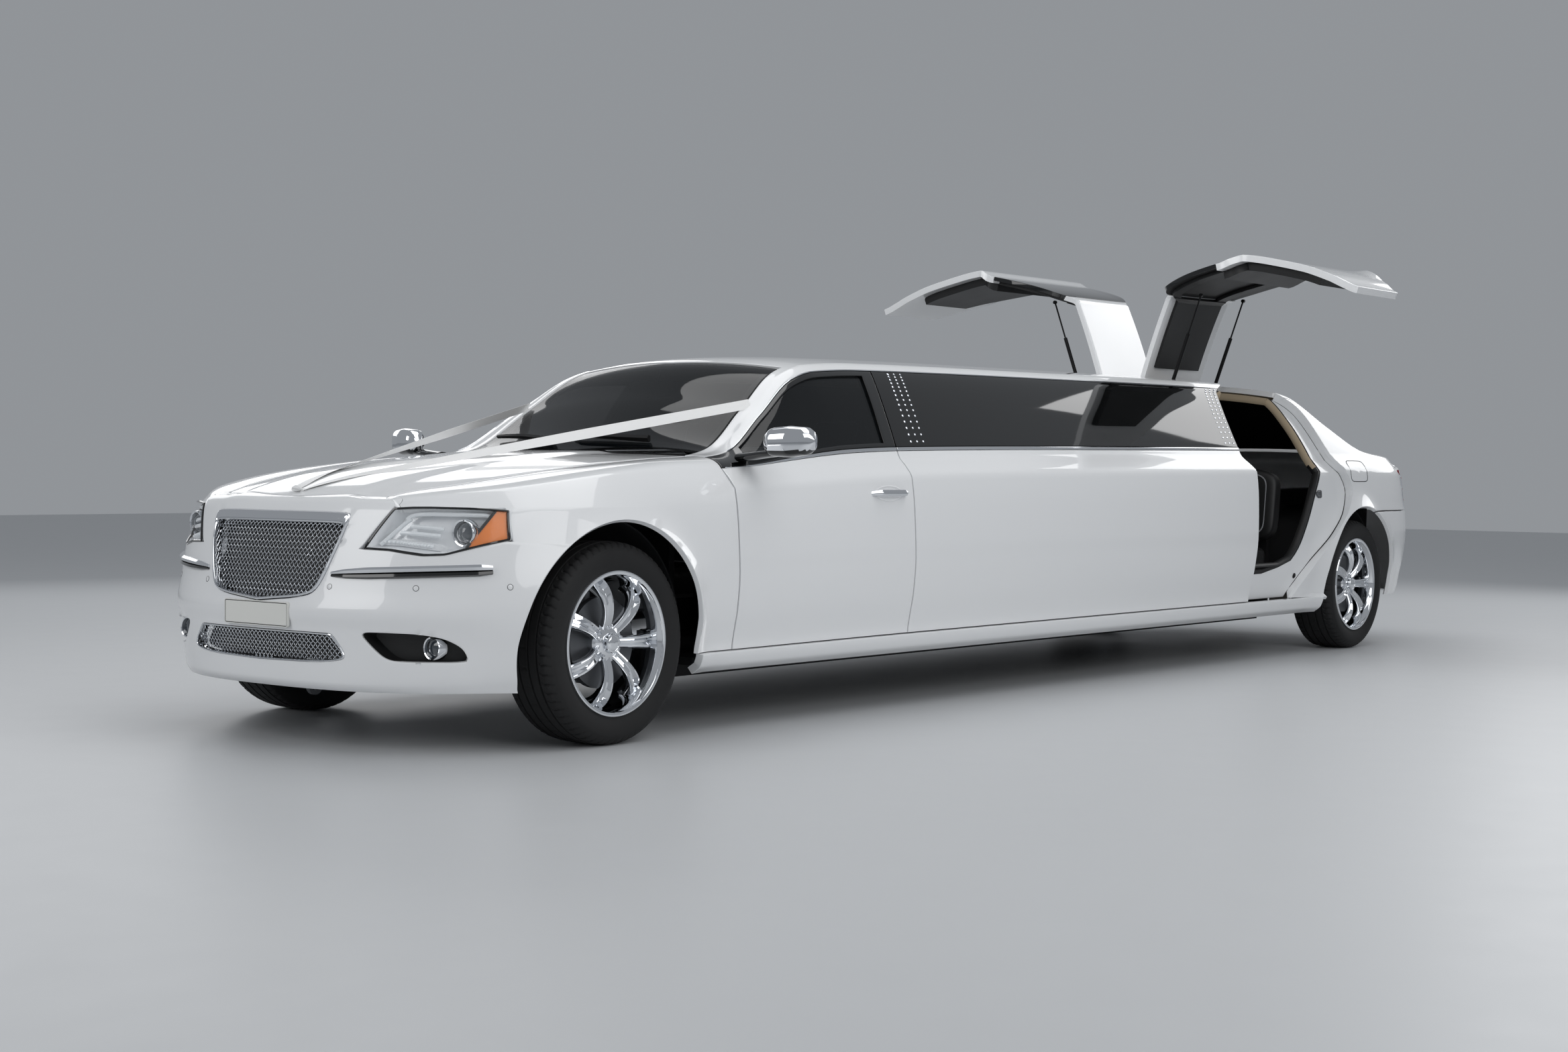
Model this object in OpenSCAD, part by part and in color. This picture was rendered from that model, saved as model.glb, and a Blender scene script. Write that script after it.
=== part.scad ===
// Stretch limousine with raised gull doors, millimetres, X forward, Y left, Z up
// The origin lies on the ground under the middle of the body

/* [Overall] */
// Distance between the axles
wheelbase = 6240; // [5800:10:6800]
// Front axle to the nose
front_overhang = 885; // [875:1:900]
// Rear axle to the tail
rear_overhang = 1095; // [1080:1:1110]
// Body width over the flanks
body_w = 1890; // [1880:1:1910]
// Height of the sill's lower edge
sill_h = 225; // [215:1:235]
// Height added to the whole roof
roof_raise = 0; // [-10:1:40]

/* [Panels] */
// Thickness of a door or side wall
wall_t = 80; // [60:1:90]
// Thickness of the pillars and of the roof
roof_t = 42; // [34:1:50]
// Thickness of the fenders, hood, lids and bumpers
panel_t = 28; // [20:1:34]
// Thickness of the glass
glass_t = 6; // [4:0.5:8]
// Gap between a hinged panel and its neighbours
gap = 9; // [7:0.5:11]
// Gap between a gull door and its neighbours along the car
gull_gap = 17; // [15:0.5:19]

/* [Wheels] */
// Outer radius of the tyres
tyre_r = 364; // [350:1:372]
// Width of the tyres
tyre_w = 245; // [225:1:255]
// Height of a tyre's side between the rim's lip and the tread
sidewall = 98; // [90:1:110]
// Distance between the tyres' middles on an axle
track = 1600; // [1570:1:1610]
// Room between a tyre and its wheel arch
arch_room = 79; // [72:1:84]
// Spokes on a wheel
spokes = 7; // [5:1:9]

/* [Doors] */
// Length of a front door at its foot
door_len = 1142; // [1000:1:1250]
// Length of a gull door at the belt
gull_len = 1010; // [900:1:1060]
// Angle of the raised gull doors
gull_open = 75; // [0:1:80]
// Distance of a gull hinge from the middle
gull_hinge_y = 130; // [110:1:180]

/* [Struts] */
// Diameter of a strut's tube
tube_d = 20; // [16:1:24]
// Diameter of a strut's rod
rod_d = 9; // [7:0.5:11]

/* [Hidden] */
$fn = 64;

half_w = body_w / 2;
x_f = (wheelbase + rear_overhang - front_overhang) / 2;
x_r = x_f - wheelbase;
rim_r = tyre_r - sidewall;
arch_r = tyre_r + arch_room;

// Body sections: x, belt height, inset of the edge, edge height, crown height, shoulder share
// The edge is the line of the hood's side, the screen pillar, the roof's side and the boot's side
SECTIONS = [
  [x_r - 985, 1010, 305, 1036, 1086, 0.80],
  [x_r - 850, 1040, 255, 1066, 1102, 0.80],
  [x_r - 760, 1062, 230, 1090, 1116, 0.80],
  [x_r - 320, 1092, 210, 1122, 1144, 0.80],
  [x_r - 245, 1095, 205, 1136, 1180, 0.70],
  [x_r + 60, 1094, 263, 1285 + roof_raise * 0.5, 1345 + roof_raise * 0.5, 0.45],
  [x_r + 357, 1093, 323, 1428 + roof_raise, 1474 + roof_raise, 0.28],
  [x_r + 474, 1092, 341, 1446 + roof_raise, 1494 + roof_raise, 0.28],
  [x_r + 1066, 1084, 360, 1474 + roof_raise, 1510 + roof_raise, 0.28],
  [x_f - 3050, 1062, 365, 1458 + roof_raise, 1500 + roof_raise, 0.28],
  [x_f - 1800, 1042, 363, 1442 + roof_raise, 1480 + roof_raise, 0.28],
  [x_f - 1480, 1030, 359, 1424 + roof_raise, 1464 + roof_raise, 0.28],
  [x_f - 1330, 1022, 353, 1384 + roof_raise, 1440 + roof_raise, 0.30],
  [x_f - 1060, 1008, 305, 1218 + roof_raise * 0.5, 1290 + roof_raise * 0.5, 0.45],
  [x_f - 790, 993, 261, 1056, 1122, 0.70],
  [x_f - 650, 988, 255, 1036, 1052, 0.80],
  [x_f - 400, 978, 263, 1022, 1044, 0.85],
  [x_f, 955, 297, 986, 1012, 0.85],
  [x_f + 420, 905, 389, 926, 958, 0.85],
  [x_f + 620, 868, 485, 892, 912, 0.85],
  [x_f + 760, 835, 525, 848, 860, 0.85]];

// Flank profile: share of the height from sill to belt, inset from the full width
FLANK = [[0, 72], [0.04, 34], [0.1, 22], [0.105, 44], [0.2, 32], [0.3, 15], [0.5, 0], [0.72, 5],
  [0.9, 20], [0.95, 46], [1, 84]];

// Nose and tail profiles: height, distance beyond the axle
NOSE = [[200, 835], [240, 868], [420, 874], [480, 885], [560, 862], [700, 828], [830, 786],
  [860, 768], [1000, 700]];
TAIL = [[280, 1020], [330, 1060], [480, 1082], [600, 1095], [780, 1080], [800, 1050], [1040, 1000],
  [1090, 985], [1200, 900]];
nose_power = 2.65;
tail_power = 4;
arch_shift = 20;
flare = 34;
flare_reach = 130;

function column(n) = [for (s = SECTIONS) [s[0], s[n]]];
BELT = column(1);
EDGE_Y = [for (s = SECTIONS) [s[0], half_w - s[2]]];
EDGE_Z = column(3);
CROWN = column(4);
SHARE = column(5);

function mix(a, b, w) = a + (b - a) * w;
function clamp01(v) = min(max(v, 0), 1);
function oval(q, p) = pow(1 - pow(clamp01(q), p), 1 / p);
// Share of the full width left at the rounded nose and tail
function taper(x, z) = x > x_f ? oval((x - x_f) / (lookup(z, NOSE) * front_overhang / 885), nose_power)
  : x < x_r ? oval((x_r - x) / (lookup(z, TAIL) * rear_overhang / 1095), tail_power) : 1;
function arch_x(x) = x > (x_f + x_r) / 2 ? x_f + arch_shift : x_r + arch_shift;
function arch_far(x, z) = norm([x - arch_x(x), z - tyre_r]) - arch_r;
function lip(x, z) = flare * pow(clamp01(1 - arch_far(x, z) / flare_reach), 2);
function height(x, t) = mix(sill_h, lookup(x, BELT), t);
function flank_y(x, t) = let (z = height(x, t)) (half_w - lookup(t, FLANK)) * taper(x, z) + lip(x, z);
// A point of the body's skin: t runs 0 sill, 1 belt, 2 edge, 3 middle of the top
function shoulder(x, w) = let (a = [flank_y(x, 1), lookup(x, BELT)],
  b = [lookup(x, EDGE_Y), lookup(x, EDGE_Z)],
  c = [mix(b[0], a[0], lookup(x, SHARE)), b[1] + 4])
  a * (1 - w) * (1 - w) + c * 2 * w * (1 - w) + b * w * w;
function crown(x, w) = let (e = lookup(x, EDGE_Z), m = lookup(x, CROWN))
  [lookup(x, EDGE_Y) * (1 - w), m - (m - e) * (1 - w) * (1 - w)];
function skin(x, t) = t <= 1 ? [x, flank_y(x, t), height(x, t)]
  : t <= 2 ? let (p = shoulder(x, t - 1)) [x, p[0], p[1]]
  : let (p = crown(x, t - 2)) [x, p[0], p[1]];
// Inward step from the skin: level on the flank, towards the cabin's middle on the shoulder, down on top
LEAN = [[1, 0], [1.5, 20], [1.7, 40], [1.86, 50], [2, 55], [2.3, 90]];
function lean(t) = lookup(t, LEAN);
function under(x, t, d) = skin(x, t) - d * [0, cos(lean(t)), sin(lean(t))];

// Closed slab between two grids of points, rows by columns
module slab(outer, inner) {
  rows = len(outer);
  cols = len(outer[0]);
  size = rows * cols;
  function id(r, c, s) = s * size + r * cols + c;
  points = concat([for (row = outer) each row], [for (row = inner) each row]);
  faces = concat(
    [for (r = [0 : rows - 2], c = [0 : cols - 2]) each
      [[id(r, c, 0), id(r, c + 1, 0), id(r + 1, c + 1, 0)],
        [id(r, c, 0), id(r + 1, c + 1, 0), id(r + 1, c, 0)]]],
    [for (r = [0 : rows - 2], c = [0 : cols - 2]) each
      [[id(r, c, 1), id(r + 1, c + 1, 1), id(r, c + 1, 1)],
        [id(r, c, 1), id(r + 1, c, 1), id(r + 1, c + 1, 1)]]],
    [for (c = [0 : cols - 2]) each
      [[id(0, c, 0), id(0, c + 1, 1), id(0, c + 1, 0)], [id(0, c, 0), id(0, c, 1), id(0, c + 1, 1)]]],
    [for (c = [0 : cols - 2], r = rows - 1) each
      [[id(r, c, 0), id(r, c + 1, 0), id(r, c + 1, 1)], [id(r, c, 0), id(r, c + 1, 1), id(r, c, 1)]]],
    [for (r = [0 : rows - 2]) each
      [[id(r, 0, 0), id(r + 1, 0, 0), id(r + 1, 0, 1)], [id(r, 0, 0), id(r + 1, 0, 1), id(r, 0, 1)]]],
    [for (r = [0 : rows - 2], c = cols - 1) each
      [[id(r, c, 0), id(r + 1, c, 1), id(r + 1, c, 0)], [id(r, c, 0), id(r, c, 1), id(r + 1, c, 1)]]]);
  polyhedron(points, faces);
}

// Shares of the way from one place to another at even steps, or at the body sections between them
function even(steps) = [for (i = [0 : steps]) i / steps];
function stations(rear, front) = concat([0],
  [for (s = SECTIONS) let (w = (s[0] - rear) / (front - rear)) if (w > 0.002 && w < 0.998) w], [1]);

// Left wall between two edges given as [t, x] tables, along the rows ts, with a depth for each row
module wall(front, rear, ts, shares, depth, proud = 0) {
  function at(t, w, d) = under(mix(lookup(t, rear), lookup(t, front), w), t, d);
  slab([for (t = ts) [for (w = shares) at(t, w, -proud)]],
    [for (t = ts) [for (w = shares) at(t, w, lookup(t, depth))]]);
}

// Full width top panel between two edges given as [t, x] tables
module top_panel(front, rear, ts, shares, d) {
  last = len(ts) - 1;
  function at(t, w, e) = under(mix(lookup(t, rear), lookup(t, front), w), t, e);
  function right(p) = [p[0], -p[1], p[2]];
  function whole(e) = concat([for (t = ts) [for (w = shares) at(t, w, e)]],
    [for (k = [1 : last]) [for (w = shares) right(at(ts[last - k], w, e))]]);
  slab(whole(0), whole(d));
}

module right_side() {
  mirror([0, 1, 0]) children();
}

module arch_cut(x) {
  translate([x + arch_shift, half_w * 1.2, tyre_r]) rotate([90, 0, 0])
    cylinder(r = arch_r, h = half_w * 0.75, $fn = 180);
}

// Prism through the left side wall from an outline of [x, z] points
module side_cut(outline, play = 0) {
  translate([0, half_w * 1.2, 0]) rotate([90, 0, 0]) linear_extrude(half_w * 0.8)
    offset(delta = -play) polygon(outline);
}

// Panel edges, as [t, x]
door_front_x = x_f - 655;
door_rear_x = door_front_x - door_len;
DOOR_FRONT = [[0.1, door_front_x - 8], [1, door_front_x + 14], [2, door_front_x]];
DOOR_REAR = [[0.1, door_rear_x - 18], [1, door_rear_x + 2], [2, door_rear_x - 130]];
gull_front_x = x_r + 1290;
gull_rear_x = gull_front_x - gull_len;
spine_gap = 28;
GULL_FRONT = [[0.1, gull_front_x + 10], [0.9, gull_front_x - 20], [1, gull_front_x + 35],
  [1.6, gull_front_x - 55], [1.86, gull_front_x - 200], [3, gull_front_x - 206]];
// Front of the rear wheel arch at a height
function arch_back(r, z) = x_r + arch_shift + sqrt(max(r * r - pow(z - tyre_r, 2), 0));
neck_r = arch_r + 24;
GULL_REAR = [[0.1, arch_back(neck_r, 311) + 334], [0.31, arch_back(neck_r, 494) + 112],
  [0.54, arch_back(neck_r, 694)], [0.7, arch_back(neck_r, 833) + 160],
  [0.78, arch_back(neck_r, 902) + 110], [0.9, gull_rear_x - 85], [1, gull_rear_x - 22],
  [1.5, gull_rear_x + 70], [1.86, gull_rear_x + 190], [3, gull_rear_x + 194]];
function moved(edge, d) = [for (e = edge) [e[0], e[1] + d]];
door_top = 1.7;
rail_low = 1.745;
wall_top = rail_low - 0.012;
FLANK_ROWS = [0.11, 0.2, 0.31, 0.54, 0.7, 0.78, 0.9, 0.95, 1];
GLASS_ROWS = [1.06, 1.3, 1.5, 1.6, door_top];
DOOR_DEPTH = [[0.1, wall_t], [0.95, wall_t], [1.05, roof_t], [2, roof_t]];
window_low = 1.08;
window_high = 1.62;
glass_play = 0.5;

sill_inner = half_w - 140;
SILL_ROWS = [0, 0.04, 0.07, 0.097];

module sills() {
  color("white") for (s = [0, 1]) mirror([0, s, 0])
    wall([[0, x_f + arch_shift - arch_r - 10], [0.1, x_f + arch_shift - arch_r - 16]],
      [[0, x_r + arch_shift + arch_r + 20], [0.1, x_r + arch_shift + arch_r + 26]],
      SILL_ROWS, even(3), [for (t = SILL_ROWS) [t, half_w - lookup(t, FLANK) - sill_inner]]);
}

module side_panel() {
  color("white") difference() {
    wall(moved(DOOR_REAR, -gap), moved(GULL_FRONT, gull_gap), concat(FLANK_ROWS, GLASS_ROWS,
      [wall_top]), stations(gull_front_x, door_rear_x), DOOR_DEPTH);
    side_cut([for (e = [[1, 1.09], [0, 1.09], [0, 1.66], [1, 1.66]])
      let (x = e[0] > 0 ? lookup(e[1], DOOR_REAR) - gap - 120
        : lookup(e[1], GULL_FRONT) + gull_gap + 60) [x, skin(x, e[1])[2]]]);
  }
}

// Bead of glue under the flush glass
glass_lift = 2;

module side_glass() {
  color("black") for (s = [0, 1]) mirror([0, s, 0])
    wall(moved(DOOR_REAR, -gap - 8), moved(GULL_FRONT, gull_gap + 8), GLASS_ROWS,
      stations(gull_front_x, door_rear_x),
      [[1, -glass_lift], [2, -glass_lift]], glass_t + glass_lift);
}

FENDER_FRONT = [[0.1, x_f + 300], [0.63, x_f + 428], [0.66, x_f + 436], [0.84, x_f + 432],
  [0.9, x_f + 560], [1, x_f + 640], [2, x_f + 640]];
module front_fender() {
  color("white") difference() {
    wall(FENDER_FRONT, moved([DOOR_FRONT[0], DOOR_FRONT[1], [2, DOOR_FRONT[1][1]]], gap),
      concat(FLANK_ROWS, [1.25, 1.5, 1.75, 1.985]), even(14), PANEL_DEPTH);
    arch_cut(x_f);
    headlamp_slab(lamp_room);
    // Joint line with the bumper
    translate([x_f + 150, 0, 0]) cube([600, half_w * 1.2, 716]);
  }
}

PANEL_DEPTH = [[0, panel_t], [3, panel_t]];
QUARTER_END = [[0.1, x_r - 560], [0.6, x_r - 800], [1, x_r - 830], [2, x_r - 830]];
roof_rear_x = x_r + 345;
// The quarter's front edge: along the gull door, then under the roof's end as the rear pillar
QUARTER_FRONT = concat([for (e = moved(GULL_REAR, -gull_gap)) if (e[0] < wall_top) e],
  [[wall_top, lookup(wall_top, GULL_REAR) - gull_gap], [rail_low, roof_rear_x - 5], [2, roof_rear_x - 5]]);

module quarter_panel() {
  color("white") difference() {
    wall(QUARTER_FRONT, QUARTER_END, concat(FLANK_ROWS, GLASS_ROWS, [wall_top, rail_low, 1.86, 1.985]),
      even(14), PANEL_DEPTH);
    arch_cut(x_r);
    tail_lamp_slab(lamp_room);
    // Joint line with the bumper
    translate([x_r - 1200, 0, 0]) cube([1000, half_w * 1.2, 776]);
  }
}

pillar_foot_x = door_front_x - 15;

function opening_edge(edge, play) = concat([[lookup(rail_low, edge) + play, half_w]],
  [for (t = [rail_low, 1.86]) let (x = lookup(t, edge) + play) [x, skin(x, t)[1] - 20]],
  [[lookup(3, edge) + play, gull_hinge_y - spine_gap]]);
module roof() {
  color("white") difference() {
    union() {
      top_panel([[2, x_f - 1385], [3, x_f - 1330]], [[2, roof_rear_x], [3, roof_rear_x - 20]],
        [rail_low, 1.86, 2, 2.25, 2.5, 2.75, 3], stations(roof_rear_x, x_f - 1385), roof_t);
      for (s = [0, 1]) mirror([0, s, 0]) {
        // Screen pillar, slimmer at its foot
        for (p = [[pillar_foot_x, x_f - 850, []], [x_f - 840, x_f - 1400, [rail_low]]])
          wall([[1, p[0]], [3, p[0]]], [[1, p[1]], [3, p[1]]], concat(p[2], [1.86, 2, 2.06]),
            stations(p[1], p[0]), [[1, roof_t], [3, roof_t]]);
      }
    }
    for (s = [0, 1]) mirror([0, s, 0]) {
      // Opening of a gull door in plan, along the door's own edges
      translate([0, 0, 1300]) linear_extrude(400 + roof_raise)
        polygon([each opening_edge(GULL_FRONT, gull_gap),
          for (i = [3 : -1 : 0]) opening_edge(GULL_REAR, -gull_gap)[i]]);
    }
  }
}

module hood() {
  color("white") top_panel([[2, x_f + 640 - gap], [3, x_f + 722]],
    [[2, door_front_x + gap], [3, door_front_x + 120]], [2.02, 2.25, 2.5, 2.75, 3], even(10), panel_t);
}

module trunk_lid() {
  color("white") union() {
    top_panel([[2, x_r - 330], [3, x_r - 330]], [[2, x_r - 900], [3, x_r - 984]],
      [2.02, 2.25, 2.5, 2.75, 3], even(4), panel_t);
    tail_face(800, 1066, tail_lamp_y - lamp_gap - lamp_room, 2);
  }
}

// Slab on the rounded nose: height range, half width at each height and columns across
function nose_point(a, z, d) = let (n = 2 / nose_power, r = lookup(z, NOSE) * front_overhang / 885 - d,
  w = half_w - lookup((z - sill_h) / (lookup(x_f, BELT) - sill_h), FLANK) - d,
  x = x_f + r * pow(cos(a), n), y = sign(a) * w * pow(abs(sin(a)), n)) [x, y + sign(a) * lip(x, z), z];
function nose_angle(y, z) = let (w = half_w - lookup((z - sill_h) / (lookup(x_f, BELT) - sill_h), FLANK))
  asin(clamp01(pow(y / w, nose_power / 2)));
// Inner edges of the headlamps, and the bumper's half width as an angle, between the lamps above 716
LAMP_IN = [[722, half_w - 545], [832, half_w - 461]];
lamp_room = 4;
lamp_gap = 11;
function beside_lamp(z) = nose_angle(lookup(z, LAMP_IN) - lamp_gap, z);
NOSE_SPAN = [[200, 74], [690, 74], [716, beside_lamp(716)], [830, beside_lamp(830)],
  [850, beside_lamp(850)]];

module nose_slab(zs, cols, d, span) {
  grid = function (e) [for (z = zs) [for (i = [0 : cols])
    nose_point(mix(1, -1, i / cols) * lookup(z, span), z, e)]];
  slab(grid(0), grid(d));
}

// Fog lamps
fog_y = half_w - 282;
fog_z = 372;
fog_d = 112;
function nose_x(y, z) = let (w = half_w - lookup((z - sill_h) / (lookup(x_f, BELT) - sill_h), FLANK))
  x_f + lookup(z, NOSE) * front_overhang / 885 * oval(y / w, nose_power);

// Half outlines of the grilles: inset from the main grille's half width, height
grille_half = half_w - 600;
GRILLE = [[0, 815], [10, 730], [60, 575], [115, 530]];
LOWER_GRILLE = [[-5, 410], [-55, 330], [45, 312]];
function both_halves(rows) = concat([for (r = rows) [grille_half - r[0], r[1]]],
  [for (i = [len(rows) - 1 : -1 : 0]) [rows[i][0] - grille_half, rows[i][1]]]);

module grille_outline(grow) {
  offset(delta = grow) polygon(both_halves(GRILLE));
}

module lower_grille_outline(grow) {
  offset(delta = grow) polygon(both_halves(LOWER_GRILLE));
}

// Flat drawing of a diamond mesh inside an outline
mesh_pitch = 56;
mesh_bar = 9;
module mesh(low, high) {
  reach = ceil(half_w / 2 / mesh_pitch);
  difference() {
    children();
    for (row = [0 : ceil((high - low) * 2 / mesh_pitch)], i = [-reach : reach])
      translate([(i + row % 2 / 2) * mesh_pitch, low + row * mesh_pitch / 2]) rotate(45)
        square(mesh_pitch / sqrt(2) - mesh_bar, center = true);
  }
}

// Stand a flat [y, z] drawing up as a prism along X
module upright(x, length) {
  translate([x, 0, 0]) rotate([90, 0, 90]) linear_extrude(length) children();
}

module front_bumper() {
  color("white") difference() {
    nose_slab([215, 240, 330, 420, 480, 560, 640, 690, 716, 770, 830, 850], 28, panel_t, NOSE_SPAN);
    arch_cut(x_f);
    right_side() arch_cut(x_f);
    upright(x_f + 500, 500) grille_outline(1);
    upright(x_f + 500, 500) lower_grille_outline(1);
    for (s = [-1, 1]) translate([x_f + 400, s * fog_y, fog_z]) rotate([0, 90, 0])
      cylinder(d = fog_d, h = 500);
  }
}

// Band inside the edge of a flat drawing
grille_frame = 28;
lower_frame = 12;
module rim(width) {
  difference() {
    children();
    offset(delta = -width) children();
  }
}

module grilles() {
  color("silver") {
    upright(x_f + 765, 40) rim(grille_frame) grille_outline(0);
    upright(x_f + 775, 12) mesh(530, 815) grille_outline(1 - grille_frame);
    upright(x_f + 800, 14) rim(lower_frame) lower_grille_outline(0);
    upright(x_f + 803, 8) mesh(312, 410) lower_grille_outline(1 - lower_frame);
  }
}

module front_lamps() {
  color("gainsboro") {
    for (s = [0, 1]) mirror([0, s, 0]) {
      headlamp_slab(0);
      translate([nose_x(fog_y, fog_z) - 70, fog_y, fog_z]) rotate([0, 90, 0])
        cylinder(d = fog_d - 4, h = 60);
    }
  }
}

// Headlamp behind the nose's skin, or the room it needs
lamp_depth = 70;
module headlamp_slab(room) {
  zs = [722 - room, 752, 800, 832 + room];
  grid = function (e) [for (z = zs) [for (i = [0 : 6])
    nose_point(mix(66 + room * 0.3, nose_angle(lookup(z, LAMP_IN) - room, z), i / 6), z, e)]];
  slab(grid(2 - room * 5), grid(lamp_depth + room));
}

function tail_point(a, z, d) = let (n = 2 / tail_power, r = lookup(z, TAIL) * rear_overhang / 1095 - d,
  w = half_w - lookup((z - sill_h) / (lookup(x_r, BELT) - sill_h), FLANK) - d,
  x = x_r - r * pow(cos(a), n), y = sign(a) * w * pow(abs(sin(a)), n)) [x, y + sign(a) * lip(x, z), z];
function tail_angle(y, z) = let (w = half_w - lookup((z - sill_h) / (lookup(x_r, BELT) - sill_h), FLANK))
  asin(clamp01(pow(y / w, tail_power / 2)));

module tail_face(low, high, wide, steps) {
  zs = [for (i = [0 : steps]) mix(low, high, i / steps)];
  grid = function (e) [for (z = zs) [for (i = [-6 : 6]) tail_point(tail_angle(wide, z) * i / 6, z, e)]];
  slab(grid(0), grid(panel_t));
}

module rear_bumper() {
  color("white") difference() {
    tail_face_wide();
    arch_cut(x_r);
    right_side() arch_cut(x_r);
  }
}

module tail_face_wide() {
  zs = [290, 330, 480, 600, 700, 770];
  grid = function (e) [for (z = zs) [for (i = [-12 : 12]) tail_point(80 * i / 12, z, e)]];
  slab(grid(0), grid(panel_t));
}

// Inner end of a tail lamp
tail_lamp_y = half_w - 385;
module tail_lamps() {
  color("darkred") for (s = [0, 1]) mirror([0, s, 0]) tail_lamp_slab(0);
}

module tail_lamp_slab(room) {
  zs = [785 - room, 850, 950, 1010 + room];
  grid = function (e) [for (z = zs) [for (i = [0 : 6])
    tail_point(mix(tail_angle(tail_lamp_y, z) - room * 0.2, 60 + room * 0.3, i / 6), z, e)]];
  slab(grid(2 - room * 5), grid(lamp_depth + room));
}

module windscreen() {
  color("dimgray") top_panel([[2, x_f - 775], [3, x_f - 690]], [[2, x_f - 1370], [3, x_f - 1322]],
    [2.07, 2.3, 2.6, 3], even(8), glass_t);
}

module rear_window() {
  color("dimgray") top_panel([[2, x_r + 335], [3, x_r + 315]], [[2, x_r - 300], [3, x_r - 310]],
    [2.03, 2.3, 2.6, 3], even(8), glass_t);
}

module front_door() {
  color("white") difference() {
    wall(DOOR_FRONT, DOOR_REAR, concat(FLANK_ROWS, GLASS_ROWS), stations(door_rear_x, door_front_x),
      DOOR_DEPTH);
    side_cut(door_window());
  }
}

// Door window: its lower line, then its upper line along the screen pillar and the roof
window_front_x = x_f - 790;
window_rear_x = door_rear_x + 75;
function window_rear(t) = window_rear_x + lookup(t, DOOR_REAR) - lookup(1, DOOR_REAR);
function on_skin(x, t) = let (p = skin(x, t)) [x, p[2]];
function door_window() = concat(
  [on_skin(window_rear(window_low), window_low), on_skin(window_front_x, window_low)],
  [for (i = [0 : 8]) on_skin(mix(window_front_x - 40, window_rear(window_high), i / 8), window_high)]);

module door_glass() {
  color("dimgray") intersection() {
    wall([[1, window_front_x + 30], [2, window_front_x + 30]], DOOR_REAR, GLASS_ROWS,
      stations(door_rear_x, window_front_x), [[1, glass_t + 10], [2, glass_t + 10]], -10);
    side_cut(door_window(), glass_play);
  }
}

module mirror_head() {
  color("silver") {
    hull() {
      translate([x_f - 775, half_w + 40, 1085]) scale([1, 1, 0.85]) sphere(d = 120, $fn = 24);
      translate([x_f - 800, half_w + 160, 1090]) scale([1, 1, 0.85]) sphere(d = 110, $fn = 24);
    }
    translate([x_f - 800, half_w - 95, 1032]) cube([60, 150, 26]);
  }
}

gull_axis_z = crown(gull_front_x - 500, 1 - gull_hinge_y / lookup(gull_front_x - 500, EDGE_Y))[1] - 4;
gull_axis_y = gull_hinge_y - 4;

// Raise what belongs to a left gull door about its hinge
module raised() {
  translate([0, gull_axis_y, gull_axis_z]) rotate([gull_open, 0, 0])
    translate([0, -gull_axis_y, -gull_axis_z]) children();
}

gull_top = 3 - gull_hinge_y / lookup(gull_front_x - 500, EDGE_Y);

GULL_DEPTH = [[0, 14], [3, 14]];
module gull_door() {
  color("white") raised() difference() {
    wall(GULL_FRONT, GULL_REAR, concat(FLANK_ROWS, GLASS_ROWS, [1.86, 2, 2.3, 2.6, gull_top]), even(6),
      GULL_DEPTH);
    side_cut(gull_window());
  }
  color("white") raised() for (x = hinge_xs) translate([x, gull_axis_y, gull_axis_z]) rotate([0, 90, 0])
    cylinder(d = 16, h = 60, center = true);
}

// Hinge barrels at both ends of a gull door's upper edge
hinge_xs = [gull_front_x - 300, gull_rear_x + 290];

function gull_window() = [for (e = [[-95, 1.09, GULL_FRONT], [-95, 1.62, GULL_FRONT],
  [95, 1.62, GULL_REAR], [110, 1.09, GULL_REAR]]) on_skin(lookup(e[1], e[2]) + e[0], e[1])];

module gull_glass() {
  color("black") raised() intersection() {
    wall(moved(GULL_FRONT, -40), moved(GULL_REAR, 40), GLASS_ROWS, even(6),
      [[1, glass_t + 3], [2, glass_t + 3]], -3);
    side_cut(gull_window(), glass_play);
  }
}

// Gull struts: pins in the section plane, and their places along X
strut_base = [half_w - 670, 1430 + roof_raise];
strut_eye_closed = [half_w - 290, 1295 + roof_raise];
strut_xs = [gull_front_x - 250, gull_rear_x + 260];
function turned(p, a) = let (d = p - [gull_axis_y, gull_axis_z])
  [gull_axis_y + d[0] * cos(a) - d[1] * sin(a), gull_axis_z + d[0] * sin(a) + d[1] * cos(a)];
strut_eye = turned(strut_eye_closed, gull_open);
strut_now = strut_eye - strut_base;
strut_tilt = atan2(strut_now[1], strut_now[0]);
strut_closed_len = norm(strut_eye_closed - strut_base);
tube_len = strut_closed_len - 70;

module along_strut() {
  for (x = strut_xs) translate([x, strut_base[0], strut_base[1]]) rotate([strut_tilt, 0, 0]) children();
}

module strut_tubes() {
  color("black") along_strut() union() {
    difference() {
      translate([0, 5, 0]) rotate([-90, 0, 0]) cylinder(d = tube_d, h = tube_len);
      translate([0, 40, 0]) rotate([-90, 0, 0]) cylinder(d = rod_d + 1, h = tube_len);
    }
    translate([-8, 0, 0]) rotate([0, 90, 0]) cylinder(d = 24, h = 16);
  }
}

module strut_rods() {
  color("black") along_strut() union() {
    translate([0, norm(strut_now) - strut_closed_len + 45, 0]) rotate([-90, 0, 0])
      cylinder(d = rod_d, h = strut_closed_len - 50);
    translate([-7, norm(strut_now), 0]) rotate([0, 90, 0]) cylinder(d = 20, h = 14);
  }
}

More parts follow.
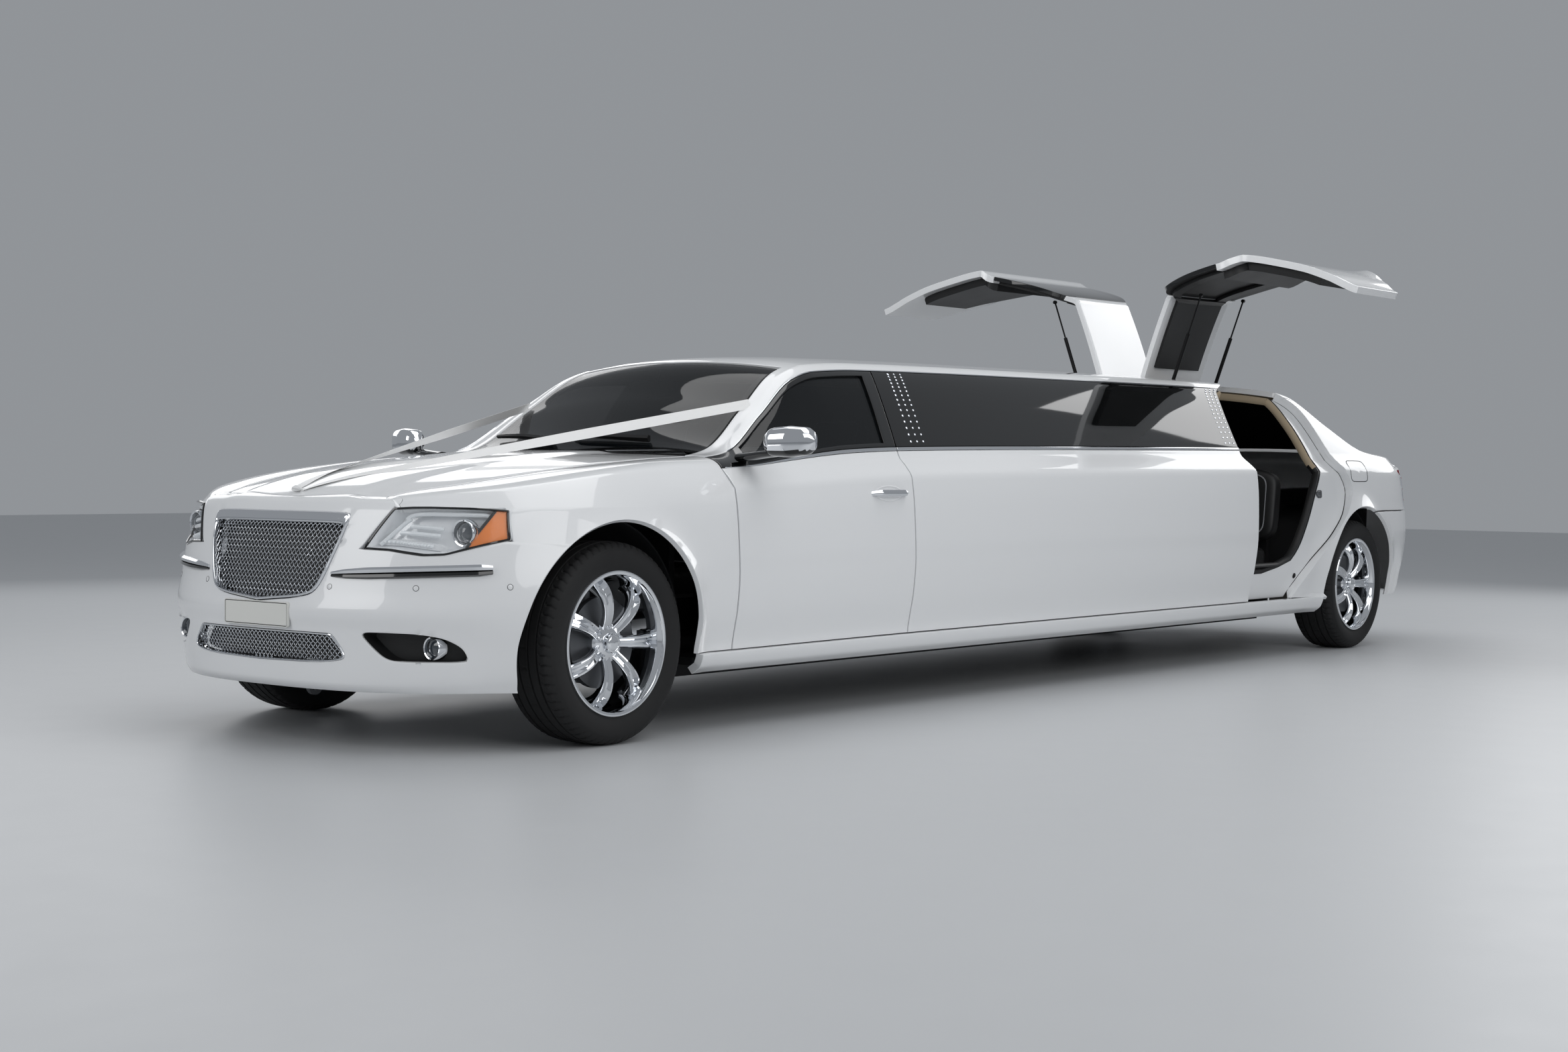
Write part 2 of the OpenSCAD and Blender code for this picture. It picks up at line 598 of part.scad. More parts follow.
// Floor with rails and a shaft tunnel, firewall, rear bulkhead and boot floor in one folded pan
floor_z = sill_h + 20;
floor_t = 30;
floor_front_x = x_f - 540;
floor_rear_x = x_r + 490;
floor_len = floor_front_x - floor_rear_x;
tunnel_w = 190;
tunnel_top = tyre_r + 76;
rail_y = 520;
module floor_pan() {
  color("dimgray") difference() {
    union() {
      translate([floor_rear_x, -sill_inner, floor_z]) cube([floor_len, 2 * sill_inner, floor_t]);
      translate([floor_rear_x, -tunnel_w / 2, floor_z]) cube([floor_len, tunnel_w, tunnel_top - floor_z]);
      for (s = [-1, 1]) translate([floor_rear_x + 30, s * rail_y - 45, floor_z - 70])
        cube([floor_len - 60, 90, 70]);
      translate([floor_front_x - 30, -half_w + 260, floor_z]) cube([30, body_w - 520, 700]);
      translate([floor_rear_x, -half_w + 330, floor_z]) cube([30, body_w - 660, 480]);
      translate([x_r - 900, -half_w + 410, floor_z + 450]) cube([1400, body_w - 820, 30]);
    }
    // Under the tunnel, and the gearbox's way through the firewall
    translate([floor_rear_x - 1, -tunnel_w / 2 + 12, 0])
      cube([floor_len + 2, tunnel_w - 24, tunnel_top - 12]);
    translate([floor_front_x - 620, -gearbox_w / 2 - 10, 0]) cube([700, gearbox_w + 20, 530]);
  }
}

// Dashboard's side profile: x, z
DASH = [[70, 0], [330, 0], [330, 300], [80, 290], [10, 240], [0, 150], [30, 60]];
dash_inset = 245;
column_y = -(half_w - 575);
module dashboard() {
  color("black") difference() {
    union() {
      translate([x_f - 1060, half_w - dash_inset, 640]) rotate([90, 0, 0])
        linear_extrude(body_w - 2 * dash_inset) polygon(DASH);
      // Hood over the instruments
      translate([x_f - 1040, column_y, 905]) rotate([0, 90, 0]) cylinder(d = 250, h = 180);
    }
    on_column() cylinder(d = column_d + 2, h = 400);
  }
}

// Steering column's line
column_d = 50;
module on_column() {
  translate([x_f - 1180, column_y, 900]) rotate([0, 65, 0]) children();
}

module steering_wheel() {
  color("black") on_column() {
    rotate_extrude() translate([175, 0]) circle(d = 30);
    cylinder(d = 130, h = 40, center = true);
    translate([-12, -175, -10]) cube([24, 350, 20]);
    cylinder(d = column_d, h = 260);
  }
}

module seat(x, y, w) {
  translate([x - 260, y - w / 2, floor_z + 60]) cube([520, w, 240]);
  translate([x - 250, y - w / 2, floor_z + 300]) rotate([0, -16, 0]) translate([-120, 0, 0])
    cube([120, w, 620]);
}

seat_room = 15;
seat_w = 2 * (-column_y - tunnel_w / 2 - seat_room);
module front_seats() {
  color("black") for (s = [-1, 1]) seat(x_f - 1560, s * column_y, seat_w);
}

module lounge_seat() {
  color("black") difference() {
    union() {
      translate([x_r + 540, -half_w + 225, floor_z + 31]) cube([560, body_w - 450, 330]);
      translate([x_r + 540, -half_w + 225, floor_z + 31]) cube([160, body_w - 450, 760]);
      translate([x_r + 1090, -half_w + 185, floor_z + 31]) cube([2000, 480, 330]);
      translate([x_r + 1090, -half_w + 185, floor_z + 31]) cube([2000, 120, 700]);
    }
    translate([x_r, -tunnel_w / 2 - 2, 0]) cube([3500, tunnel_w + 4, tunnel_top + 2]);
  }
}

// Half of the tyre's profile: radius, share of the width
TYRE = [[rim_r - 12, 0.44], [rim_r + 4, 0.445], [rim_r + 40, 0.5], [tyre_r - 40, 0.49],
  [tyre_r - 10, 0.43], [tyre_r, 0.3]];
module tyre(x, s) {
  color([0.08, 0.08, 0.08]) translate([x, s * track / 2, tyre_r]) rotate([90, 0, 0])
    rotate_extrude($fn = 96) polygon(concat([for (p = TYRE) [p[0], -p[1] * tyre_w]],
      [for (i = [len(TYRE) - 1 : -1 : 0]) [TYRE[i][0], TYRE[i][1] * tyre_w]]));
}

// Profiles of the rim and of the spokes' bow: radius, share of the width
RIM = [[rim_r - 30, -0.45], [rim_r - 13, -0.45], [rim_r - 13, 0.45], [rim_r, 0.46], [rim_r, 0.5],
  [rim_r - 16, 0.5], [rim_r - 34, 0.38], [rim_r - 24, 0.3]];
DISH = [[50, 0.22], [110, 0.26], [rim_r - 80, 0.26], [rim_r - 26, 0.2], [rim_r - 26, 0.36],
  [rim_r - 60, 0.43], [150, 0.45], [110, 0.44], [50, 0.38]];
hub_bore = 71.5;
module wheel(x, s) {
  color("silver") translate([x, s * track / 2, tyre_r]) rotate([-90 * s, 0, 0]) difference() {
    union() {
      rotate_extrude($fn = 96) polygon([for (p = RIM) [p[0], p[1] * tyre_w]]);
      translate([0, 0, tyre_w * 0.16]) cylinder(d = 170, h = tyre_w * 0.24);
      // Spokes cut from a bowed dish
      intersection() {
        rotate_extrude($fn = 96) polygon([for (p = DISH) [p[0], p[1] * tyre_w]]);
        for (i = [0 : spokes - 1]) rotate(i * 360 / spokes) linear_extrude(tyre_w)
          polygon([[60, -34], [rim_r - 26, -20], [rim_r - 26, 20], [60, 34]]);
      }
    }
    translate([0, 0, -tyre_w]) cylinder(d = hub_bore, h = tyre_w + tyre_w * 0.3);
  }
}

hub_face = track / 2 + tyre_w * 0.16;
module knuckle() {
  color("darkgray") translate([x_f, 0, tyre_r]) {
    translate([0, hub_face - 1, 0]) rotate([90, 0, 0]) cylinder(d = 330, h = 26);
    translate([0, hub_face + 30, 0]) rotate([90, 0, 0]) cylinder(d = hub_bore - 1, h = 60);
    translate([0, hub_face - 20, 0]) rotate([90, 0, 0]) cylinder(d = 120, h = 90);
    // Steering pivot
    translate([0, track / 2 - 60, -150]) cylinder(d = 56, h = 330);
  }
}

module rear_axle() {
  color("darkgray") translate([x_r, 0, tyre_r]) {
    for (s = [0, 1]) mirror([0, s, 0]) {
      translate([0, hub_face - 1, 0]) rotate([90, 0, 0]) cylinder(d = 320, h = 26);
      translate([0, hub_face + 30, 0]) rotate([90, 0, 0]) cylinder(d = hub_bore - 1, h = 60);
      translate([0, hub_face - 20, 0]) rotate([90, 0, 0]) cylinder(d = 70, h = hub_face - 20);
    }
    translate([-120, -110, -90]) cube([300, 220, 200]);
    translate([170, 0, 0]) rotate([0, 90, 0]) cylinder(d = 76, h = wheelbase - 1500);
  }
}

// Lashing eye in the upright plane under the nose, and jacking pads under the rails
eye_r = 16;
eye_x = x_f + 620;
eye_z = 192;
module lashing_eye() {
  translate([eye_x, 0, eye_z]) difference() {
    union() {
      rotate([90, 0, 0]) cylinder(r = eye_r + 16, h = 18, center = true);
      translate([-60, -9, -14]) cube([40, 18, 28]);
    }
    rotate([90, 0, 0]) cylinder(r = eye_r, h = 40, center = true);
  }
}

module front_subframe() {
  color("darkgray") {
    lashing_eye();
    // Skid plate narrowing towards the eye
    translate([0, 0, eye_z - 14]) linear_extrude(28) polygon([[x_f - 120, -420], [x_f + 120, -420],
      [eye_x - 55, -40], [eye_x - 55, 40], [x_f + 120, 420], [x_f - 120, 420]]);
    translate([x_f - 120, -420, eye_z + 10]) cube([240, 840, 40]);
    for (s = [0, 1]) mirror([0, s, 0]) translate([x_f - 30, 419, eye_z - 7])
      cube([60, track / 2 - 559, 40]);
  }
}

gearbox_w = 300;
module engine() {
  color("gray") {
    translate([x_f - 380, -300, 260]) cube([720, 600, 480]);
    translate([x_f - 1100, -gearbox_w / 2, 285]) cube([721, gearbox_w, 225]);
  }
}

module exhaust() {
  color("silver") for (s = [-1, 1]) {
    translate([x_r - rear_overhang + 20, s * 300, sill_h - 20]) rotate([0, 90, 0])
      cylinder(d = 60, h = wheelbase + rear_overhang - 1200);
    translate([x_r - 900, s * 300, sill_h]) rotate([90, 0, 90]) linear_extrude(450) {
      square([150, 110], center = true);
      for (side = [-75, 75]) translate([side, 0]) circle(d = 110);
    }
  }
}

module wheel_liners() {
  color("black") for (x = [x_f, x_r], s = [0, 1]) mirror([0, s, 0])
    translate([x + arch_shift, half_w - 110, tyre_r]) rotate([90, 0, 0]) rotate([0, 0, 10])
      rotate_extrude(angle = 160) translate([arch_r + 2, 0]) square([6, 290]);
}

// Ribbons: stretched from the hood's nose to the tops of the screen pillars
ribbon_w = 42;
ribbon_nose = [x_f + 560, 40, 960];
ribbon_top = [x_f - 1330, half_w - 343, 1420 + roof_raise];
ribbon_split = 0.63;
module ribbon(from, to) {
  function at(w, dy, dz) = mix(ribbon_nose, ribbon_top, w) + [0, dy, dz];
  for (s = [0, 1]) mirror([0, s, 0])
    slab([for (dy = [ribbon_w / 2, -ribbon_w / 2]) [for (w = [from, to]) at(w, dy, 1)]],
      [for (dy = [ribbon_w / 2, -ribbon_w / 2]) [for (w = [from, to]) at(w, dy, -1)]]);
}

module ribbons_front() {
  color("white") ribbon(0, ribbon_split);
}

module ribbons_rear() {
  color("white") ribbon(ribbon_split + 0.03, 1);
}

floor_pan();
sills();
side_panel();  // side_panel_left
right_side() side_panel();  // side_panel_right
front_fender();  // front_fender_left
right_side() front_fender();  // front_fender_right
quarter_panel();  // quarter_panel_left
right_side() quarter_panel();  // quarter_panel_right
roof();
hood();
trunk_lid();
front_bumper();
rear_bumper();
grilles();
front_lamps();
tail_lamps();
windscreen();
rear_window();
side_glass();
front_door();  // front_door_left
right_side() front_door();  // front_door_right
door_glass();  // door_glass_left
right_side() door_glass();  // door_glass_right
mirror_head();  // mirror_left
right_side() mirror_head();  // mirror_right
gull_door();  // gull_door_left
right_side() gull_door();  // gull_door_right
gull_glass();  // gull_glass_left
right_side() gull_glass();  // gull_glass_right
strut_tubes();  // strut_tubes_left
right_side() strut_tubes();  // strut_tubes_right
strut_rods();  // strut_rods_left
right_side() strut_rods();  // strut_rods_right
dashboard();
steering_wheel();
front_seats();
lounge_seat();
tyre(x_f, 1);  // tyre_front_left
tyre(x_f, -1);  // tyre_front_right
tyre(x_r, 1);  // tyre_rear_left
tyre(x_r, -1);  // tyre_rear_right
wheel(x_f, 1);  // wheel_front_left
wheel(x_f, -1);  // wheel_front_right
wheel(x_r, 1);  // wheel_rear_left
wheel(x_r, -1);  // wheel_rear_right
knuckle();  // knuckle_left
right_side() knuckle();  // knuckle_right
rear_axle();
front_subframe();
engine();
exhaust();
wheel_liners();
ribbons_front();
ribbons_rear();
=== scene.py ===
import bmesh
import bpy
import math
import numpy as np
from mathutils import Matrix, Vector


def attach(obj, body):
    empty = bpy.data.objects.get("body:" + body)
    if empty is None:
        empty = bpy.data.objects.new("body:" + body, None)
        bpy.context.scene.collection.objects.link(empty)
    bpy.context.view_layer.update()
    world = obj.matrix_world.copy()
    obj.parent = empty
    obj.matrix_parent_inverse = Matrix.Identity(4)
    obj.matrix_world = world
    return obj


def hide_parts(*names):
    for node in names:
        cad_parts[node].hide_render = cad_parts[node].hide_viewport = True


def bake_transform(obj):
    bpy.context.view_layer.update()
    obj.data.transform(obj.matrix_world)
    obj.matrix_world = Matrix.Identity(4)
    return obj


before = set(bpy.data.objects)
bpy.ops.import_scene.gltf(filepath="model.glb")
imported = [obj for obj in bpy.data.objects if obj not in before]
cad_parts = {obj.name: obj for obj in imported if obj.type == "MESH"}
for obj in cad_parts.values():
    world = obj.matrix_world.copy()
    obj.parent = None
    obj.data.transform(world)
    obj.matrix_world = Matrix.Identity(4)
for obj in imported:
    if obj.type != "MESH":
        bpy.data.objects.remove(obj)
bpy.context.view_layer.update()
print("frame loaded")

# Materials, each named for what it is in the real car
# color is sRGB, grain is the pattern's real size in mm, lift its height in mm
materialTable = {
    # Deep white with a hard clear coat, the lamp's reflections stay crisp on it
    "whitePaint": dict(color="#eff0f1", rough=0.32, coat=1.0, grain=45, lift=0.003),
    # Same white without the clear coat, for the inner faces of the panels
    "whitePrimer": dict(color="#dfe0e1", rough=0.5, grain=4, lift=0.02),
    # Nearly black side glass, only reflections show
    "privacyGlass": dict(color="#060708", rough=0.03, ior=1.52, coat=0.4, grain=60, lift=0.01),
    # Smoke glass that lets the seats show dimly
    "tintedGlass": dict(color="#0b0f12", rough=0.02, ior=1.52, alpha=0.62, grain=80, lift=0.01),
    # Bright plated metal
    "chrome": dict(color="#e9ebee", metallic=1.0, rough=0.05, grain=30, lift=0.004),
    # Blackened steel of the gas struts
    "blackSteel": dict(color="#131314", metallic=0.7, rough=0.34, grain=3, lift=0.01),
    # Grained moulding plastic, soft sheen
    "blackPlastic": dict(color="#121213", rough=0.5, ior=1.49, grain=1.2, lift=0.05),
    # Polished black trim round the windows
    "glossTrim": dict(color="#08090a", rough=0.08, coat=0.6, grain=20, lift=0.004),
    # Hide with fine creases
    "blackLeather": dict(color="#141415", rough=0.46, grain=2.4, lift=0.16, cells=True),
    # Contrast cord in the seat seams
    "greyPiping": dict(color="#8f9094", rough=0.6, grain=1.5, lift=0.05),
    # Warm cloth round the rear opening
    "beigeCloth": dict(color="#b9a88e", rough=0.92, ior=1.45, grain=1.4, lift=0.12),
    # Matt door seals
    "sealRubber": dict(color="#0c0c0d", rough=0.72, ior=1.52, grain=2, lift=0.03),
    # Dull black road rubber
    "tyreRubber": dict(color="#151516", rough=0.78, ior=1.52, grain=1.6, lift=0.08),
    # Sand-cast and machined iron
    "castSteel": dict(color="#6a6c6f", metallic=0.9, rough=0.48, grain=2.2, lift=0.12),
    # Heat-stained pipe
    "exhaustSteel": dict(color="#8b8680", metallic=1.0, rough=0.33, grain=9, lift=0.03),
    # Dusty coated floor steel
    "underbodyBlack": dict(color="#1a1a1c", rough=0.82, grain=3, lift=0.2),
    # Clear lamp cover
    "lampLens": dict(color="#f4f7fa", rough=0.02, ior=1.45, alpha=0.05, grain=50, lift=0.005),
    # Vacuum-plated lamp bowl; its near-white colour with little metal is partly a painted highlight that
    # stands in for the plated shine of a bowl sitting in shade
    "lampBowlPaintedShine": dict(color="#f4f6f8", metallic=0.2, rough=0.24, grain=14, lift=0.02),
    # Dark clear glass of a bulb's lens
    "bulbGlass": dict(color="#3a4148", rough=0.03, ior=1.52, coat=1.0, grain=20, lift=0.004),
    # Light guide seen unlit
    "lightGuide": dict(color="#eef2f5", rough=0.12, coat=0.5, grain=10, lift=0.02),
    # Orange side marker
    "amberLens": dict(color="#f58408", rough=0.2, ior=1.4, coat=0.2, grain=6, lift=0.06),
    # Ruby tail lens
    "redLens": dict(color="#86070b", rough=0.07, ior=1.58, coat=0.7, grain=8, lift=0.05),
    # Brighter red light bars behind the lens
    "redGuide": dict(color="#b3161a", rough=0.12, coat=0.6, grain=6, lift=0.04),
    # Woven satin, soft glow along the fold
    "satinRibbon": dict(color="#f3f3f2", rough=0.38, sheen=0.7, grain=0.9, lift=0.02),
    # Painted aluminium blank
    "plateBlank": dict(color="#e6e6e1", rough=0.35, grain=5, lift=0.01),
    # Cut glass stones
    "crystal": dict(color="#f5f8ff", metallic=0.9, rough=0.03, grain=4, lift=0.001),
}


def linearOf(code):
    parts = [int(code[i:i + 2], 16) / 255 for i in (1, 3, 5)]
    return [p / 12.92 if p <= 0.04045 else ((p + 0.055) / 1.055) ** 2.4 for p in parts] + [1.0]


def addNode(tree, kind, settings, links=()):
    node = tree.nodes.new(kind)
    for key, value in settings.items():
        if key in node.inputs:
            node.inputs[key].default_value = value
        else:
            setattr(node, key, value)
    for socket, source in links:
        tree.links.new(source, node.inputs[socket])
    return node


def makeMaterial(name, spec):
    mat = bpy.data.materials.new(name)
    mat.use_nodes = True
    tree = mat.node_tree
    tree.nodes.clear()
    place = addNode(tree, "ShaderNodeTexCoord", {})
    perMetre = 1000 / spec["grain"]
    if spec.get("cells"):
        grain = addNode(tree, "ShaderNodeTexVoronoi", {"Scale": perMetre},
                        [("Vector", place.outputs["Object"])])
        level = grain.outputs["Distance"]
    else:
        grain = addNode(tree, "ShaderNodeTexNoise", {"Scale": perMetre, "Detail": 3.0},
                        [("Vector", place.outputs["Object"])])
        level = grain.outputs["Fac"]
    haze = addNode(tree, "ShaderNodeTexNoise", {"Scale": 5.0, "Detail": 2.0},
                   [("Vector", place.outputs["Object"])])
    spread = addNode(tree, "ShaderNodeMapRange",
                     {"To Min": spec["rough"] * 0.9, "To Max": spec["rough"] * 1.1},
                     [("Value", haze.outputs["Fac"])])
    bump = addNode(tree, "ShaderNodeBump", {"Strength": 0.6, "Distance": spec["lift"] / 1000},
                   [("Height", level)])
    shade = addNode(tree, "ShaderNodeBsdfPrincipled",
                    {"Base Color": linearOf(spec["color"]), "Metallic": spec.get("metallic", 0.0),
                     "IOR": spec.get("ior", 1.5), "Coat Weight": spec.get("coat", 0.0),
                     "Coat Roughness": 0.03, "Sheen Weight": spec.get("sheen", 0.0),
                     "Alpha": spec.get("alpha", 1.0)},
                    [("Roughness", spread.outputs["Result"]), ("Normal", bump.outputs["Normal"])])
    addNode(tree, "ShaderNodeOutputMaterial", {}, [("Surface", shade.outputs["BSDF"])])
    if "alpha" in spec:
        mat.surface_render_method = "BLENDED"
    return mat


look = {name: makeMaterial(name, spec) for name, spec in materialTable.items()}
paintedPanel = ["whitePaint", "whitePrimer"]  # outer face, inner face
print("materials made")

# The body's main places, in metres, X forward from the middle of the car
car = dict(frontAxle=3.225, rearAxle=-3.015, halfWidth=0.945, sill=0.225, tyre=0.364, tyreWide=0.245,
           rim=0.266, arch=0.443, archShift=0.02, track=1.6, flare=0.034, flareReach=0.13,
           nosePower=2.65, tailPower=4.0)
xF, xR, halfW = car["frontAxle"], car["rearAxle"], car["halfWidth"]

# x, belt height, edge half width, edge height, crown height, shoulder share
sections = np.array([
    [xR - 0.985, 1.010, 0.640, 1.036, 1.086, 0.80], [xR - 0.850, 1.040, 0.690, 1.066, 1.102, 0.80],
    [xR - 0.760, 1.062, 0.715, 1.090, 1.116, 0.80], [xR - 0.320, 1.092, 0.735, 1.122, 1.144, 0.80],
    [xR - 0.245, 1.095, 0.740, 1.136, 1.180, 0.70], [xR + 0.060, 1.094, 0.682, 1.285, 1.345, 0.45],
    [xR + 0.357, 1.093, 0.622, 1.428, 1.474, 0.28], [xR + 0.474, 1.092, 0.604, 1.446, 1.494, 0.28],
    [xR + 1.066, 1.084, 0.585, 1.474, 1.510, 0.28], [xF - 3.050, 1.062, 0.580, 1.458, 1.500, 0.28],
    [xF - 1.800, 1.042, 0.582, 1.442, 1.480, 0.28], [xF - 1.480, 1.030, 0.586, 1.424, 1.464, 0.28],
    [xF - 1.330, 1.022, 0.592, 1.384, 1.440, 0.30], [xF - 1.060, 1.008, 0.640, 1.218, 1.290, 0.45],
    [xF - 0.790, 0.993, 0.684, 1.056, 1.122, 0.70], [xF - 0.650, 0.988, 0.690, 1.036, 1.052, 0.80],
    [xF - 0.400, 0.978, 0.682, 1.022, 1.044, 0.85], [xF, 0.955, 0.648, 0.986, 1.012, 0.85],
    [xF + 0.420, 0.905, 0.556, 0.926, 0.958, 0.85], [xF + 0.620, 0.868, 0.460, 0.892, 0.912, 0.85],
    [xF + 0.760, 0.835, 0.420, 0.848, 0.860, 0.85]])
# Share of the height from sill to belt, inset from the full width
flank = np.array([[0, 0.072], [0.04, 0.034], [0.1, 0.022], [0.105, 0.044], [0.2, 0.032], [0.3, 0.015],
                  [0.5, 0], [0.72, 0.005], [0.9, 0.020], [0.95, 0.046], [1, 0.084]])
# Height, distance beyond the axle
nose = np.array([[0.2, 0.835], [0.24, 0.868], [0.42, 0.874], [0.48, 0.885], [0.56, 0.862], [0.7, 0.828],
                 [0.83, 0.786], [0.86, 0.768], [1.0, 0.7]])
tail = np.array([[0.28, 1.02], [0.33, 1.06], [0.48, 1.082], [0.6, 1.095], [0.78, 1.08], [0.8, 1.05],
                 [1.04, 1.0], [1.09, 0.985], [1.2, 0.9]])


def smoothTable(xs, ys):
    xs, ys = np.asarray(xs, float), np.asarray(ys, float)
    step = np.diff(xs)
    slope = np.diff(ys) / step
    tangent = np.concatenate([[slope[0]], np.zeros(len(xs) - 2), [slope[-1]]])
    a, b = slope[:-1], slope[1:]
    same = a * b > 0
    tangent[1:-1][same] = 2 * a[same] * b[same] / (a[same] + b[same])

    def at(x):
        x = np.clip(np.asarray(x, float), xs[0], xs[-1])
        i = np.clip(np.searchsorted(xs, x, side="right") - 1, 0, len(step) - 1)
        s = (x - xs[i]) / step[i]
        return (ys[i] * (1 + 2 * s) * (1 - s) ** 2 + ys[i + 1] * s * s * (3 - 2 * s)
                + step[i] * (tangent[i] * s * (1 - s) ** 2 - tangent[i + 1] * s * s * (1 - s)))
    return at


beltAt, edgeY, edgeZ, crownAt, shareAt = [smoothTable(sections[:, 0], sections[:, k]) for k in range(1, 6)]
flankAt = smoothTable(flank[:, 0], flank[:, 1])
# The bumpers run on without the sill's ledge
endFlank = np.concatenate([[[0, 0.066], [0.05, 0.052]], flank[3:]])
endFlankAt = smoothTable(endFlank[:, 0], endFlank[:, 1])
noseAt = smoothTable(nose[:, 0], nose[:, 1])
tailAt = smoothTable(tail[:, 0], tail[:, 1])


def oval(q, p):
    return (1 - np.clip(q, 0, 1) ** p) ** (1 / p)


def taper(x, z):
    ahead = oval((x - xF) / noseAt(z), car["nosePower"])
    behind = oval((xR - x) / tailAt(z), car["tailPower"])
    return np.where(x > xF, ahead, np.where(x < xR, behind, 1.0))


def flareAt(x, z):
    middle = np.where(x > (xF + xR) / 2, xF, xR) + car["archShift"]
    far = np.hypot(x - middle, z - car["tyre"]) - car["arch"]
    return car["flare"] * np.clip(1 - far / car["flareReach"], 0, 1) ** 2


def skin(x, t):
    # t runs 0 sill, 1 belt, 2 edge, 3 middle of the top, and on to 6 down the right side
    x, t = np.broadcast_arrays(np.asarray(x, float), np.asarray(t, float))
    side = np.where(t > 3, -1.0, 1.0)
    t = np.where(t > 3, 6 - t, t)
    belt, ey, ez, top = beltAt(x), edgeY(x), edgeZ(x), crownAt(x)
    f = np.clip(t, 0, 1)
    fz = car["sill"] + (belt - car["sill"]) * f
    fy = (halfW - flankAt(f)) * taper(x, fz) + flareAt(x, fz)
    w = np.clip(t - 1, 0, 1)
    ay = (halfW - flank[-1, 1]) * taper(x, belt) + flareAt(x, belt)
    cy = ey + (ay - ey) * shareAt(x)
    sy = ay * (1 - w) ** 2 + cy * 2 * w * (1 - w) + ey * w * w
    sz = belt * (1 - w) ** 2 + (ez + 0.004) * 2 * w * (1 - w) + ez * w * w
    v = np.clip(t - 2, 0, 1)
    ty, tz = ey * (1 - v), top - (top - ez) * (1 - v) ** 2
    y = np.where(t <= 1, fy, np.where(t <= 2, sy, ty))
    z = np.where(t <= 1, fz, np.where(t <= 2, sz, tz))
    return np.stack([x, side * y, z], -1)


def tableOf(rows):
    rows = np.array(rows, float)
    return lambda t: np.interp(t, rows[:, 0], rows[:, 1])


def curveOf(rows):
    rows = np.array(rows, float)
    return smoothTable(rows[:, 0], rows[:, 1])


def spans(breaks, counts):
    parts = [np.linspace(a, b, n, endpoint=False) for a, b, n in zip(breaks, breaks[1:], counts)]
    group = np.concatenate([[i] * n for i, n in enumerate(counts)])
    return np.concatenate(parts + [[breaks[-1]]]), group


def gridFaces(rows, cols):
    r, c = np.meshgrid(np.arange(rows - 1), np.arange(cols - 1), indexing="ij")
    k = (r * cols + c).ravel()
    return np.stack([k, k + cols, k + cols + 1, k + 1], 1)


def patch(edges, counts, breaks, rowCounts, keep=None, lift=0.0):
    # Rows run along t, columns along X between edge lines given as functions of t
    ts, rowGroup = spans(breaks, rowCounts)
    xs, colGroup = [], None
    for t in ts:
        row, colGroup = spans([float(e(t)) for e in edges], counts)
        xs.append(row)
    xs = np.array(xs)
    points = skin(xs, ts[:, None]).reshape(-1, 3)
    faces = gridFaces(len(ts), xs.shape[1])
    if keep:
        kept = np.array([[keep(r, c) for c in colGroup] for r in rowGroup]).ravel()
        faces = faces[kept]
    points, faces = used(points, faces)
    if lift:
        points = points + normalsOf(points, faces) * lift
    return points, faces


def used(points, faces):
    keys = np.unique(faces)
    back = np.full(len(points), -1)
    back[keys] = np.arange(len(keys))
    return points[keys], back[faces]


def normalsOf(points, faces):
    cross = np.cross(points[faces[:, 2]] - points[faces[:, 0]], points[faces[:, 3]] - points[faces[:, 1]])
    normal = np.zeros_like(points)
    for k in range(4):
        np.add.at(normal, faces[:, k], cross)
    return normal / np.maximum(np.linalg.norm(normal, axis=1, keepdims=True), 1e-12)


def shell(points, faces, depth, lip=0.004):
    # Gives an open sheet of quads a rounded rim and an inner face; the kinds are 1 on inner faces
    normal = normalsOf(points, faces)
    edges = np.concatenate([faces[:, [k, (k + 1) % 4]] for k in range(4)])
    known = set(map(tuple, edges))
    border = np.array([e for e in map(tuple, edges) if (e[1], e[0]) not in known])
    away = np.zeros_like(points)
    side = np.cross(points[border[:, 1]] - points[border[:, 0]], normal[border[:, 0]])
    side /= np.maximum(np.linalg.norm(side, axis=1, keepdims=True), 1e-12)
    np.add.at(away, border[:, 0], side)
    np.add.at(away, border[:, 1], side)
    size = np.linalg.norm(away, axis=1, keepdims=True)
    away = away / np.maximum(size, 1e-9) * np.minimum(2 / np.maximum(size, 1e-9), 1.6)
    rim = np.unique(border)
    place = np.full(len(points), -1)
    place[rim] = np.arange(len(rim))
    # The rounding stays smaller than the quads beside the rim
    step = edges[(place[edges[:, 0]] < 0) != (place[edges[:, 1]] < 0)]
    room = np.full(len(points), lip / 0.45)
    for k in (0, 1):
        np.minimum.at(room, step[:, k], np.linalg.norm(points[step[:, 0]] - points[step[:, 1]], axis=1))
    lip = room[rim, None] * 0.45
    outer = points.copy()
    outer[rim] -= away[rim] * lip
    rings = [points[rim] - away[rim] * lip * 0.29 - normal[rim] * lip * 0.29,
             points[rim] - normal[rim] * lip, points[rim] - normal[rim] * depth]
    inner = points - normal * depth
    count, ring = len(points), len(rim)
    start = [count + ring * k for k in range(3)]
    allPoints = np.concatenate([outer, *rings, inner])
    a, b = place[border[:, 0]], place[border[:, 1]]
    quads = [np.stack([border[:, 1], border[:, 0], start[0] + a, start[0] + b], 1)]
    for k in range(2):
        quads.append(np.stack([start[k] + b, start[k] + a, start[k + 1] + a, start[k + 1] + b], 1))
    innerId = np.where(place >= 0, start[2] + place, count + ring * 3 + np.arange(count))
    back = innerId[faces[:, ::-1]]
    rimFaces = np.concatenate(quads)
    kinds = np.concatenate([np.zeros(len(faces) + len(rimFaces), int), np.ones(len(back), int)])
    keepPoints, allFaces = used(allPoints, np.concatenate([faces, rimFaces, back]))
    return keepPoints, allFaces, kinds


